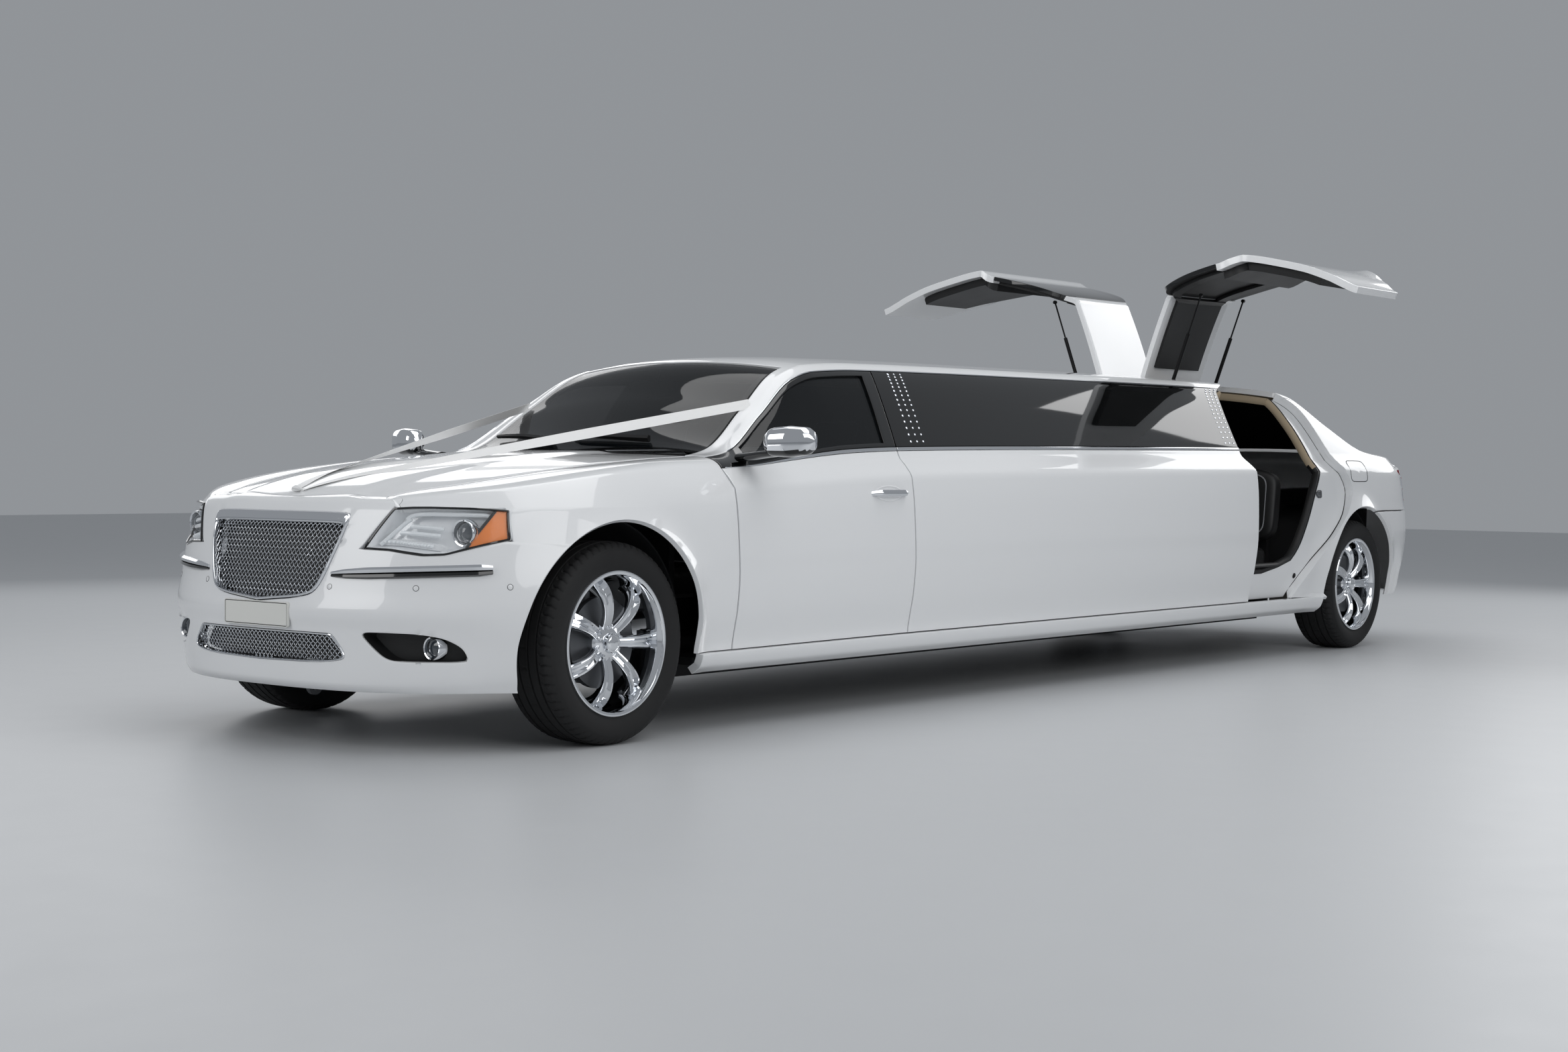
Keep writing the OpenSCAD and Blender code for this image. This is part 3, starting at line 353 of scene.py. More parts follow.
def joined(*parts):
    points, faces, kinds, total = [], [], [], 0
    for part in parts:
        points.append(part[0])
        faces.append(np.asarray(part[1]) + total)
        kinds.append(part[2] if len(part) > 2 else np.zeros(len(part[1]), int))
        total += len(part[0])
    return np.concatenate(points), np.concatenate(faces), np.concatenate(kinds)


def flipped(part):
    points, faces = part[0] * [1, -1, 1], np.asarray(part[1])[:, ::-1]
    return (points, faces, *part[2:])


def turnedOpen(part, angle):
    y, z = gull["axisY"], gull["axisZ"]
    c, s = math.cos(angle), math.sin(angle)
    d = part[0] - [0, y, z]
    moved = np.stack([d[:, 0], y + d[:, 1] * c - d[:, 2] * s, z + d[:, 1] * s + d[:, 2] * c], 1)
    return (moved, *part[1:])


def piece(name, part, mats, body="body", stands=(), sharp=38, weighted=True, solid=False):
    points, faces = part[0], part[1]
    mesh = bpy.data.meshes.new(name)
    mesh.from_pydata(points.tolist(), [], [list(dict.fromkeys(f)) for f in np.asarray(faces).tolist()])
    for m in mats:
        mesh.materials.append(look[m])
    if len(part) > 2 and len(mats) > 1:
        mesh.polygons.foreach_set("material_index", np.minimum(part[2], len(mats) - 1).astype(np.int32))
    if solid:
        # Turns every face of a closed solid outwards
        work = bmesh.new()
        work.from_mesh(mesh)
        bmesh.ops.recalc_face_normals(work, faces=work.faces)
        work.to_mesh(mesh)
        work.free()
    mesh.polygons.foreach_set("use_smooth", np.ones(len(mesh.polygons), bool))
    mesh.set_sharp_from_angle(angle=math.radians(sharp))
    mesh.update()
    obj = bpy.data.objects.new(name, mesh)
    bpy.context.scene.collection.objects.link(obj)
    if weighted:
        bend = obj.modifiers.new("faceWeights", "WEIGHTED_NORMAL")
        bend.keep_sharp = True
    if body:
        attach(obj, body)
    if stands:
        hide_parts(*stands)
    return obj


def bothSides(name, part, mats, bodies=("body", "body"), stands=((), ()), **more):
    piece(name + "Left", part, mats, bodies[0], stands[0], **more)
    piece(name + "Right", flipped(part), mats, bodies[1], stands[1], **more)


# Panel edges, each a line of x over the height share t
gull = dict(axisY=0.126, axisZ=1.49655, open=math.radians(75), frontX=xR + 1.290, rearX=xR + 0.280, top=2.781)
seam = dict(plain=0.006, gull=0.010, doorTop=1.695, railLow=1.722, panelLow=0.105, beltLow=1.035,
            glassLow=1.058)


def archAhead(z):
    # Front of the rear wheel arch at a height
    return xR + car["archShift"] + math.sqrt(max(car["arch"] ** 2 - (z - car["tyre"]) ** 2, 0))


def shifted(edge, d):
    return lambda t: edge(t) + d


doorFront = tableOf([[0.1, xF - 0.663], [1, xF - 0.641], [2, xF - 0.655]])
doorRear = tableOf([[0.1, xF - 1.815], [1, xF - 1.795], [2, xF - 1.927]])
gullFront = curveOf([[0, gull["frontX"] + 0.012], [0.9, gull["frontX"] - 0.02], [1, gull["frontX"] + 0.035],
                     [1.6, gull["frontX"] - 0.055], [1.86, gull["frontX"] - 0.2],
                     [3, gull["frontX"] - 0.206]])
gullRear = curveOf([[0.1, archAhead(0.311) + 0.357], [0.31, archAhead(0.494) + 0.136],
                    [0.54, archAhead(0.694) + 0.035], [0.7, archAhead(0.833) + 0.16],
                    [0.78, archAhead(0.902) + 0.11], [0.9, gull["rearX"] - 0.085], [1, gull["rearX"] - 0.022],
                    [1.5, gull["rearX"] + 0.07], [1.86, gull["rearX"] + 0.19], [3, gull["rearX"] + 0.194]])


def still(x):
    return lambda t: x


# Sills, the long sides and their flush glass
sillFront, sillRear = xF + car["archShift"] - car["arch"] - 0.012, xR + car["archShift"] + car["arch"] + 0.022
sill = patch([still(sillRear), still(sillFront)], [60], [0, 0.04, 0.1], [5, 6])
bothSides("sill", shell(*sill, 0.03), ["whitePaint", "underbodyBlack"], stands=(["sills"], []))
longRear, longFront = shifted(gullFront, seam["gull"]), shifted(doorRear, -seam["plain"])
longLower = patch([longRear, longFront], [56], [seam["panelLow"], 0.2, 0.88, seam["beltLow"]], [4, 14, 8])
bothSides("longSide", shell(*longLower, 0.07), ["whitePaint", "blackLeather"],
          stands=(["side_panel_left"], ["side_panel_right"]))
longGlass = patch([longRear, longFront], [56], [seam["glassLow"], seam["doorTop"]], [16])
bothSides("longGlass", shell(*longGlass, 0.012, 0.002), ["privacyGlass", "blackPlastic"],
          stands=(["side_glass"], []))
longStrip = patch([longRear, longFront], [56], [seam["beltLow"] + 0.002, seam["glassLow"] - 0.004], [3],
                  lift=0.002)
bothSides("longBeltStrip", shell(*longStrip, 0.008, 0.003), ["chrome"])

# Front doors: white lower panel, black window frame and smoke glass
windowRear, windowFront = shifted(doorRear, 0.075), tableOf([[1.08, xF - 0.81], [1.62, xF - 0.86]])
doorBodies = ("front_door_left", "front_door_right")
doorLower = patch([doorRear, doorFront], [36], [seam["panelLow"], 0.2, 0.88, seam["beltLow"]], [4, 14, 8])
bothSides("doorPanel", shell(*doorLower, 0.065), ["whitePaint", "blackLeather"], doorBodies,
          (["front_door_left"], ["front_door_right"]))
doorFrame = patch([doorRear, windowRear, windowFront, doorFront], [4, 44, 6],
                  [seam["glassLow"], 1.08, 1.62, seam["doorTop"]], [2, 14, 4], lambda r,
                  c: not (r == 1 and c == 1))
bothSides("doorFrame", shell(*doorFrame, 0.03, 0.003), ["glossTrim", "blackPlastic"], doorBodies)
doorPane = patch([shifted(windowRear, -0.012), shifted(windowFront, 0.012)], [44], [1.07, 1.63], [14],
                 lift=-0.010)
bothSides("doorGlass", shell(*doorPane, 0.005, 0.001), ["tintedGlass"], doorBodies,
          (["door_glass_left"], ["door_glass_right"]))
doorStrip = patch([shifted(doorRear, 0.001), shifted(doorFront, -0.02)], [44],
                  [seam["beltLow"] + 0.002, seam["glassLow"] - 0.004], [3], lift=0.002)
bothSides("doorBeltStrip", shell(*doorStrip, 0.008, 0.003), ["chrome"], doorBodies)
print("sides made")

# Roof in one skin with the screen pillars and the spine between the gull doors
roofRear = tableOf([[2, xR + 0.345], [3, xR + 0.325], [4, xR + 0.345]])
roofFront = tableOf([[2.06, xF - 1.385], [3, xF - 1.330], [3.94, xF - 1.385]])


def mirrored(edge):
    return lambda t: edge(min(t, 6 - t))


roof = patch([roofRear, shifted(mirrored(gullRear), -seam["gull"]),
              shifted(mirrored(gullFront), seam["gull"]), roofFront, still(xF - 0.668)], [6, 26, 64, 30],
             [seam["railLow"], 1.99, 2.06, 2.823, 3.177, 3.94, 4.01, 6 - seam["railLow"]],
             [6, 3, 14, 8, 14, 3, 6], lambda r,
             c: r == 3 if c == 1 else (r in (0, 1, 5, 6) if c == 3 else True))
piece("roofSkin", shell(*roof, 0.03), ["whitePaint", "beigeCloth"], stands=["roof"])
print("roof made")

# Hood with a soft raised middle, and the boot lid
hood = dict(rise=0.009, riseFrom=0.36, riseTo=0.27,
            frontEdge=[[2, xF + 0.655], [3, xF + 0.728], [4, xF + 0.655]])


def domed(points, spec):
    y = np.abs(points[:, 1])
    s = np.clip((spec["riseFrom"] - y) / (spec["riseFrom"] - spec["riseTo"]), 0, 1)
    points[:, 2] += spec["rise"] * s * s * (3 - 2 * s)
    return points


hoodRear = tableOf([[2, xF - 0.646], [3, xF - 0.535], [4, xF - 0.646]])
hoodFront = curveOf(hood["frontEdge"])
hoodSkin = patch([hoodRear, hoodFront], [54], [2.02, 2.25, 3.75, 3.98], [6, 48, 6])
piece("hoodSkin", shell(domed(hoodSkin[0], hood), hoodSkin[1], 0.022), paintedPanel, "hood", ["hood"])


def gridPart(points, kept):
    # Quads over a grid of points, only where kept is true
    rows, cols = points.shape[:2]
    faces = gridFaces(rows, cols)[np.asarray(kept, bool).ravel()]
    return used(points.reshape(-1, 3), faces)


def sheetOf(grid, depth, lip=0.004):
    # Shell over a whole grid of points
    grid = np.asarray(grid)
    return shell(*gridPart(grid, np.ones((grid.shape[0] - 1, grid.shape[1] - 1))), depth, lip)


def shareOf(x, z):
    # t of a height on the flank
    return (z - car["sill"]) / (beltAt(x) - car["sill"])


# Front fender: from the door over the wheel arch to the strip above the headlamp
fender = dict(lampEnd=xF + 0.466, noseEnd=xF + 0.690, seamZ=0.722,
              lampTop=[[xF + 0.40, 0.852], [xF + 0.70, 0.838]], top=1.985, columns=(10, 40, 9, 12),
              rows=(4, 12, 14))
archMid, archR, archZ = xF + car["archShift"], car["arch"], car["tyre"]
seamAngle = math.pi - math.asin((fender["seamZ"] - archZ) / archR)
archTurn = np.linspace(0, seamAngle, fender["columns"][1] + 1)
columns = np.concatenate([np.linspace(xF - 0.635, archMid - archR, fender["columns"][0], endpoint=False),
                          archMid - archR * np.cos(archTurn),
                          np.linspace(archMid - archR * math.cos(seamAngle), fender["lampEnd"],
                                      fender["columns"][2] + 1)[1:],
                          np.linspace(fender["lampEnd"], fender["noseEnd"], fender["columns"][3] + 1)[1:]])
group = np.repeat([0, 1, 2, 3], fender["columns"])
lowZ = np.where(columns < archMid - archR + 1e-6, archZ, np.where(
    columns < archMid - archR * math.cos(seamAngle),
    archZ + np.sqrt(np.clip(archR ** 2 - (columns - archMid) ** 2, 0, None)), fender["seamZ"]))
midZ = np.interp(columns, *np.array(fender["lampTop"]).T)
lowT, midT = shareOf(columns, lowZ), np.minimum(shareOf(columns, midZ), 1.3)
sillT = np.full(len(columns), seam["panelLow"])
ease = np.linspace(0, 1, fender["rows"][1], endpoint=False) ** 1.4
ts = np.concatenate([sillT + (lowT - sillT) * s for s in np.linspace(0, 1, fender["rows"][0], endpoint=False)]
                    + [lowT + (midT - lowT) * s for s in ease]
                    + [midT + (fender["top"] - midT) * s for s in np.linspace(0, 1, fender["rows"][2] + 1)])
ts = ts.reshape(-1, len(columns))
rear = np.clip((xF - 0.35 - columns) / 0.285, 0, 1) ** 2
ahead = np.clip((columns - fender["lampEnd"]) / (fender["noseEnd"] - fender["lampEnd"]), 0, 1)
xs = columns + rear * (doorFront(ts) + seam["plain"] - xF + 0.635) - ahead * 0.04 * np.clip(ts - 0.97, 0, 1)
rowKind = np.repeat([0, 1, 2], fender["rows"])
kept = (group[None, :] == 0) | ((rowKind[:, None] == 1) & (group[None, :] < 3)) | (rowKind[:, None] == 2)
fenderEnd = skin(xs, ts)[sum(fender["rows"][:2]):, -1]
bothSides("fender", shell(*gridPart(skin(xs, ts), kept), 0.018), paintedPanel,
          stands=(["front_fender_left"], ["front_fender_right"]))

# Rear quarter: ruled from the wheel arch and bumper seam out to the gull door's edge and the boot's side
quarter = dict(seamZ=0.782, lampX=xR - 0.745, lampEnd=xR - 0.955, top=1.985, pillarX=xR + 0.342, rows=44,
               thick=0.02)
archMid = xR + car["archShift"]
endTurn = math.pi - math.asin((quarter["seamZ"] - archZ) / archR)
# The edge's rearmost point pairs with the arch's top, so the ruled rows don't fold
turns = np.concatenate([np.linspace(0, 1.65, 22), np.linspace(1.65, endTurn, 22)[1:]])
low = [[archMid + archR, z] for z in np.linspace(0.312, archZ, 4)[:-1]]
low += [[archMid + archR * math.cos(a), archZ + archR * math.sin(a)] for a in turns]
seamX = np.linspace(archMid + archR * math.cos(endTurn), quarter["lampX"], 26)[1:]
low += [[x, quarter["seamZ"]] for x in seamX]
low = np.array(low)
low[:, 1] = shareOf(low[:, 0], low[:, 1])
rise = np.concatenate([np.linspace(seam["panelLow"], 0.82, 24), np.linspace(0.82, 1.712, 24)[1:]])
high = [[gullRear(t) - seam["gull"], t] for t in rise]
high += [[quarter["pillarX"], t] for t in (1.724, 1.80, 1.90)]
high += [[x, quarter["top"]] for x in np.linspace(quarter["pillarX"], quarter["lampX"], len(low) - len(high))]
high = np.array(high)
s = np.linspace(0, 1, quarter["rows"] + 1)[:, None, None]
ruled = low + (high - low) * s
quarterGrid = skin(ruled[..., 0], ruled[..., 1])[:, ::-1]
overX = np.linspace(quarter["lampEnd"], quarter["lampX"], 16)
overEnd = quarter["top"] - 0.06
overT = overEnd + (0.975 - overEnd) * np.linspace(0, 1, 16) ** 0.6
overRows = np.stack([skin(overX, overT + (quarter["top"] - overT) * s) for s in np.linspace(0, 1, 11)])
quarterSkin = joined(sheetOf(quarterGrid, quarter["thick"]), sheetOf(overRows, quarter["thick"]))
bothSides("quarter", quarterSkin, paintedPanel, stands=(["quarter_panel_left"], ["quarter_panel_right"]))
print("fenders and quarters made")


def hermite(p0, m0, p1, m1, s):
    leave = p0 * (1 + 2 * s) * (1 - s) ** 2 + m0 * s * (1 - s) ** 2
    return leave + p1 * s * s * (3 - 2 * s) - m1 * s * s * (1 - s)


def faceWidth(z, x):
    return halfW - endFlankAt(np.clip((z - car["sill"]) / (beltAt(x) - car["sill"]), 0, 1))


def noseX(y, z):
    return xF + noseAt(z) * oval(np.abs(y) / faceWidth(z, xF), car["nosePower"])


def nosePoint(y, z, back=0.0):
    x = noseX(y, z)
    return np.stack([x - back, y + np.sign(y) * flareAt(x, z), z + 0 * y], -1)


def tailPoint(y, z, ahead=0.0):
    x = xR - tailAt(z) * oval(np.abs(y) / faceWidth(z, xR), car["tailPower"])
    return np.stack([x + ahead, y + np.sign(y) * flareAt(x, z), z + 0 * y], -1)


def angleY(u, z, archX, reach, power, side):
    # y on the rounded end at a share u of the turn from the middle to the wheel arch
    x = archX + side * np.sqrt(np.clip(archR ** 2 - (z - archZ) ** 2, 0, None))
    n = 2 / power
    whole = np.arccos(np.clip(np.abs(x - (xF if side > 0 else xR)) / reach, 0, 1) ** (1 / n))
    return np.sign(u) * faceWidth(z, xF if side > 0 else xR) * np.abs(np.sin(np.abs(u) * whole)) ** n


def inside(outline, y, z):
    hit = np.zeros(np.shape(y), bool)
    for (y0, z0), (y1, z1) in zip(outline, np.roll(outline, -1, 0)):
        hit ^= ((z0 > z) != (z1 > z)) & (y < (y1 - y0) * (z - z0) / (z1 - z0 + 1e-12) + y0)
    return hit


def nearestOn(outline, spots):
    best, far = spots.copy(), np.full(len(spots), 9.0)
    for a, b in zip(outline, np.roll(outline, -1, 0)):
        share = np.clip(((spots - a) @ (b - a)) / ((b - a) @ (b - a)), 0, 1)
        spot = a + share[:, None] * (b - a)
        gap = np.linalg.norm(spots - spot, axis=1)
        near = gap < far
        best[near], far[near] = spot[near], gap[near]
    return best


def softened(outline, times=3):
    # Rounds the corners of a closed outline
    outline = np.array(outline, float)
    for _ in range(times):
        after = np.roll(outline, -1, 0)
        outline = np.stack([outline * 0.78 + after * 0.22, outline * 0.22 + after * 0.78], 1).reshape(-1, 2)
    return outline


def bothHalves(half):
    half = np.array(half, float)
    return np.concatenate([half, half[::-1] * [-1, 1]])


# Front bumper with the nose, its openings cut to these outlines of y, z
bumper = dict(low=0.212, top=0.850, rows=46, midRows=14, rollRows=8, columns=180,
              upper=[[0, 0.704], [0.44, 0.704], [0.545, 0.700], [0.60, 0.692], [0.66, 0.684], [0.715, 0.687],
                     [0.775, 0.710], [0.832, 0.736], [0.88, 0.731], [0.95, 0.718]],
              lampIn=[[0.700, 0.436], [0.722, 0.452], [0.832, 0.520], [0.850, 0.526]])
grille = dict(half=[[0.0, 0.828], [0.35, 0.828], [0.366, 0.815], [0.350, 0.735], [0.296, 0.578],
                    [0.250, 0.535], [0.0, 0.512]],
              lowerHalf=[[0.0, 0.413], [0.345, 0.413], [0.362, 0.408], [0.415, 0.340], [0.395, 0.322],
                         [0.300, 0.311], [0.0, 0.306]],
              pitch=0.0150, wire=0.0028, back=0.022, bar=0.040, frame=0.015)
fog = dict(pocket=[[0.466, 0.420], [0.560, 0.421], [0.660, 0.418], [0.722, 0.404], [0.758, 0.374],
                   [0.768, 0.336], [0.764, 0.322], [0.660, 0.322], [0.580, 0.324], [0.546, 0.336],
                   [0.505, 0.374]],
           y=0.676, z=0.370, radius=0.040, deep=0.055)
grilleOutline = softened(bothHalves(grille["half"]), 2)
lowerOutline = softened(bothHalves(grille["lowerHalf"]), 2)
pocketOutline = softened(fog["pocket"], 2)
u = np.linspace(1, -1, bumper["columns"] + 1)
topY = angleY(u, 0.71, xF + car["archShift"], noseAt(0.71), car["nosePower"], 1)
topZ = np.interp(np.abs(topY), *np.array(bumper["upper"]).T)
rowZ = bumper["low"] + (topZ - bumper["low"]) * np.linspace(0, 1, bumper["rows"] + 1)[:, None]
rowY = angleY(u[None, :], rowZ, xF + car["archShift"], noseAt(rowZ), car["nosePower"], 1)
middle = np.abs(topY) < bumper["lampIn"][0][1]
upZ = np.linspace(topZ[len(u) // 2], bumper["top"], bumper["midRows"] + 1)[1:, None]
upY = topY[None, :] / bumper["lampIn"][0][1] * np.interp(upZ, *np.array(bumper["lampIn"]).T)
upY = np.where(middle, upY, topY)
allY, allZ = np.concatenate([rowY, upY]), np.concatenate([rowZ, upZ + 0 * upY])
keepQuad = np.ones((len(allZ) - 1, len(u) - 1), bool)
bothMiddle = middle[1:] & middle[:-1]
keepQuad[bumper["rows"]:] = bothMiddle
centreY = (allY[1:, 1:] + allY[1:, :-1] + allY[:-1, 1:] + allY[:-1, :-1]) / 4
centreZ = (allZ[1:, 1:] + allZ[1:, :-1] + allZ[:-1, 1:] + allZ[:-1, :-1]) / 4
for outline in (grilleOutline, lowerOutline, pocketOutline, pocketOutline * [-1, 1]):
    gone = inside(outline, centreY, centreZ) & keepQuad
    keepQuad &= ~gone
    touch = [np.zeros(allY.shape, bool), np.zeros(allY.shape, bool)]
    for mark, mask in zip(touch, (gone, keepQuad)):
        for dr in (0, 1):
            for dc in (0, 1):
                mark[dr:dr + mask.shape[0], dc:dc + mask.shape[1]] |= mask
    rim = touch[0] & touch[1]
    spots = nearestOn(outline, np.stack([allY[rim], allZ[rim]], -1))
    allY[rim], allZ[rim] = spots[:, 0], spots[:, 1]
nosePoints = nosePoint(allY, allZ)
# The nose rolls over to the hood's front edge
start = nosePoints[-1]
hoodT = 3 - np.sign(start[:, 1]) * np.clip(np.abs(start[:, 1]) / bumper["lampIn"][-1][1], 0, 1)
end = skin(hoodFront(hoodT) + seam["plain"], hoodT)
end = domed(end, hood)
reach = np.linalg.norm(end - start, axis=1)[:, None] * 1.15
lead, leave = np.array([-0.45, 0, 0.9]) * reach, np.array([-0.95, 0, 0.30]) * reach
roll = [hermite(start, lead, end, leave, s) for s in np.linspace(0, 1, bumper["rollRows"] + 1)[1:]]
nosePoints = np.concatenate([nosePoints, roll])
keepQuad = np.concatenate([keepQuad, np.repeat(bothMiddle[None, :], bumper["rollRows"], 0)])
piece("bumperSkin", shell(*gridPart(nosePoints, keepQuad), 0.020), paintedPanel, stands=["front_bumper"])
# Filler between the roll's outer edge and the fender's nose end
rollEdge = nosePoints[-1 - bumper["rollRows"]:, np.argmax(middle)]


def resampled(line, count):
    far = np.concatenate([[0], np.cumsum(np.linalg.norm(np.diff(line, axis=0), axis=1))])
    return np.stack([np.interp(np.linspace(0, far[-1], count), far, line[:, k]) for k in range(3)], 1)


inner, outer = resampled(rollEdge, 14), resampled(fenderEnd, 14)
filler = np.stack([outer + (inner - outer) * s for s in np.linspace(0, 1, 7)], 1)
bothSides("noseFiller", sheetOf(filler, 0.014, 0.002), paintedPanel)

# Boot lid with its rolled rear edge, and the rear bumper
boot = dict(front=xR - 0.333, half=0.540, low=0.806, high=1.010, columns=48, rollRows=8, faceRows=16,
            thick=0.022)
bootRear = curveOf([[2, xR - 0.905], [3, xR - 0.970], [4, xR - 0.905]])
bootTop = patch([bootRear, still(boot["front"])], [26], [2.02, 2.2, 3.8, 3.98], [6, 40, 6])
across = np.linspace(-boot["half"], boot["half"], boot["columns"] + 1)
edgeT = 3 - across / edgeY(xR - 0.93)
start = skin(bootRear(edgeT), edgeT)
faceZ = np.linspace(boot["high"], boot["low"], boot["faceRows"] + 1)[:, None]
face = tailPoint(across + 0 * faceZ, faceZ)
reach = np.linalg.norm(face[0] - start, axis=1)[:, None] * 1.2
lead, leave = np.array([-0.97, 0, -0.10]) * reach, np.array([0.12, 0, -0.97]) * reach
roll = [hermite(start, lead, face[0], leave, s) for s in np.linspace(0, 1, boot["rollRows"] + 1)[:-1]]
bootFace = np.concatenate([roll, face])[::-1]
piece("bootSkin", joined(shell(*bootTop, boot["thick"]), sheetOf(bootFace, boot["thick"])), paintedPanel,
      "trunk_lid", ["trunk_lid"])
tailBumper = dict(low=0.285, top=0.776, rows=30, columns=110, thick=0.020)
u = np.linspace(-1, 1, tailBumper["columns"] + 1)
rowZ = np.linspace(tailBumper["low"], tailBumper["top"], tailBumper["rows"] + 1)[:, None] + 0 * u
rowY = angleY(u[None, :], rowZ, xR + car["archShift"], tailAt(rowZ), car["tailPower"], -1)
piece("tailBumperSkin", sheetOf(tailPoint(rowY, rowZ), tailBumper["thick"]), paintedPanel,
      stands=["rear_bumper"])
print("nose and tail made")


def unit(v):
    return v / np.maximum(np.linalg.norm(v, axis=-1, keepdims=True), 1e-12)


def fullTurn(count):
    return np.linspace(0, 2 * math.pi, count, endpoint=False)


def squircle(turn, power):
    # Rounded square between a circle at power 1 and a sharp square near 0
    c, n = np.cos(turn), np.sin(turn)
    return np.sign(c) * np.abs(c) ** power, np.sign(n) * np.abs(n) ** power


def sweep(path, outs, profile, closed=False, scale=None):
    # Carries a profile of (sideways, outwards) offsets along a path; open ends close to a point
    path, profile = np.asarray(path, float), np.asarray(profile, float)
    outs = np.broadcast_to(np.asarray(outs, float), path.shape)
    if not closed:
        path = np.concatenate([path[:1], path, path[-1:]])
        outs = np.concatenate([outs[:1], outs, outs[-1:]])
        size = np.ones(len(path)) if scale is None else np.concatenate([scale[:1], scale, scale[-1:]])
        size[0] = size[-1] = 0.001
    else:
        size = np.ones(len(path)) if scale is None else np.asarray(scale, float)
    ahead = np.roll(path, -1, 0) - np.roll(path, 1, 0)
    if not closed:
        ahead[0] = ahead[1] = path[2] - path[1]
        ahead[-1] = ahead[-2] = path[-2] - path[-3]
    side = unit(np.cross(unit(ahead), outs))
    outs = unit(np.cross(side, unit(ahead)))
    offsets = side[:, None] * profile[:, :1] + outs[:, None] * profile[:, 1:]
    rings = path[:, None] + size[:, None, None] * offsets
    count, around = len(path), len(profile)
    r = np.arange(count if closed else count - 1)[:, None]
    c = np.arange(around)[None, :]
    nextR, nextC = (r + 1) % count, (c + 1) % around
    faces = np.stack([r * around + c, r * around + nextC, nextR * around + nextC, nextR * around + c], -1)
    return rings.reshape(-1, 3), faces.reshape(-1, 4)


def ringProfile(radius, sides=8, flat=1.0):
    a = fullTurn(sides)
    return np.stack([radius * np.cos(a), radius * flat * np.sin(a)], 1)


def skinOut(x, t):
    # Outward direction of the skin
    e = 0.002
    along = skin(np.asarray(x) + e, t) - skin(np.asarray(x) - e, t)
    upward = skin(x, np.asarray(t) + e) - skin(x, np.asarray(t) - e)
    return unit(np.cross(upward, along))


def noseOut(y, z):
    e = 0.002
    upward = nosePoint(y, z + e) - nosePoint(y, z - e)
    sideways = nosePoint(y - e, z) - nosePoint(y + e, z)
    return unit(np.cross(upward, sideways))


def lathe(profile, centre, axis, steps=48, closed=False):
    # Turns a profile of (radius, along) about an axis through the centre
    profile, axis = np.asarray(profile, float), unit(np.asarray(axis, float))
    guide = np.array([0, 0, 1.0]) if abs(axis[2]) < 0.9 else np.array([1.0, 0, 0])
    first = unit(np.cross(axis, guide))
    second = np.cross(axis, first)
    a = fullTurn(steps)[:, None, None]
    ring = profile[None, :, :1] * (first * np.cos(a) + second * np.sin(a)) + profile[None, :, 1:] * axis
    count = len(profile)
    r, c = np.arange(steps)[:, None], np.arange(count if closed else count - 1)[None, :]
    nextR, nextC = (r + 1) % steps, (c + 1) % count
    faces = np.stack([r * count + c, nextR * count + c, nextR * count + nextC, r * count + nextC], -1)
    return (ring + np.asarray(centre, float)).reshape(-1, 3), faces.reshape(-1, 4)


# Gull doors, built shut and turned up about their hinges
gullBodies = ("gull_door_left", "gull_door_right")
sealRear = curveOf([[0.1, xR + 1.20], [0.26, xR + 1.139], [0.34, xR + 0.796], [0.527, xR + 0.645],
                    [0.77, xR + 0.506], [0.94, xR + 0.422], [1.2, xR + 0.442], [1.45, xR + 0.476],
                    [1.75, xR + 0.498], [2.1, xR + 0.500], [3, xR + 0.500]])
sealFront = shifted(gullFront, -0.010)
gullLow = patch([gullRear, gullFront], [32], [seam["panelLow"], 0.54, 0.9, seam["beltLow"]], [14, 10, 6])
gullHigh = patch([gullRear, gullFront], [32], [1.715, 2.0, gull["top"]], [8, 20])
gullPane = patch([gullRear, gullFront], [32], [seam["glassLow"] - 0.02, 1.708], [14])
gullSkin = joined(shell(*gullLow, 0.036), shell(*gullHigh, 0.028))
bothSides("gullSkin", turnedOpen(gullSkin, gull["open"]), ["whitePaint", "whitePaint"], gullBodies,
          (["gull_door_left"], ["gull_door_right"]))
bothSides("gullPane", turnedOpen(shell(*gullPane, 0.022, 0.003), gull["open"]),
          ["privacyGlass", "blackPlastic"], gullBodies, (["gull_glass_left"], ["gull_glass_right"]))
card = dict(inset=0.055, low=0.38, top=2.64, post=0.09)
cardRear, cardFront = shifted(sealRear, card["inset"]), shifted(sealFront, -card["inset"])
gullCard = patch([cardRear, cardFront], [24], [card["low"], 0.9, 1.03], [16, 6], lift=-0.034)
gullLining = patch([cardRear, cardFront], [24], [1.70, 2.0, card["top"]], [6, 14], lift=-0.026)
gullPost = patch([cardRear, shifted(cardRear, card["post"]), shifted(cardFront, -card["post"]), cardFront],
                 [4, 12, 4], [1.0, 1.74], [10],
                 lambda r, c: c != 1, lift=-0.020)
gullTrim = joined(shell(*gullCard, 0.045, 0.014), shell(*gullLining, 0.02, 0.008),
                  shell(*gullPost, 0.022, 0.008))
bothSides("gullTrim", turnedOpen(gullTrim, gull["open"]), ["blackLeather"], gullBodies)

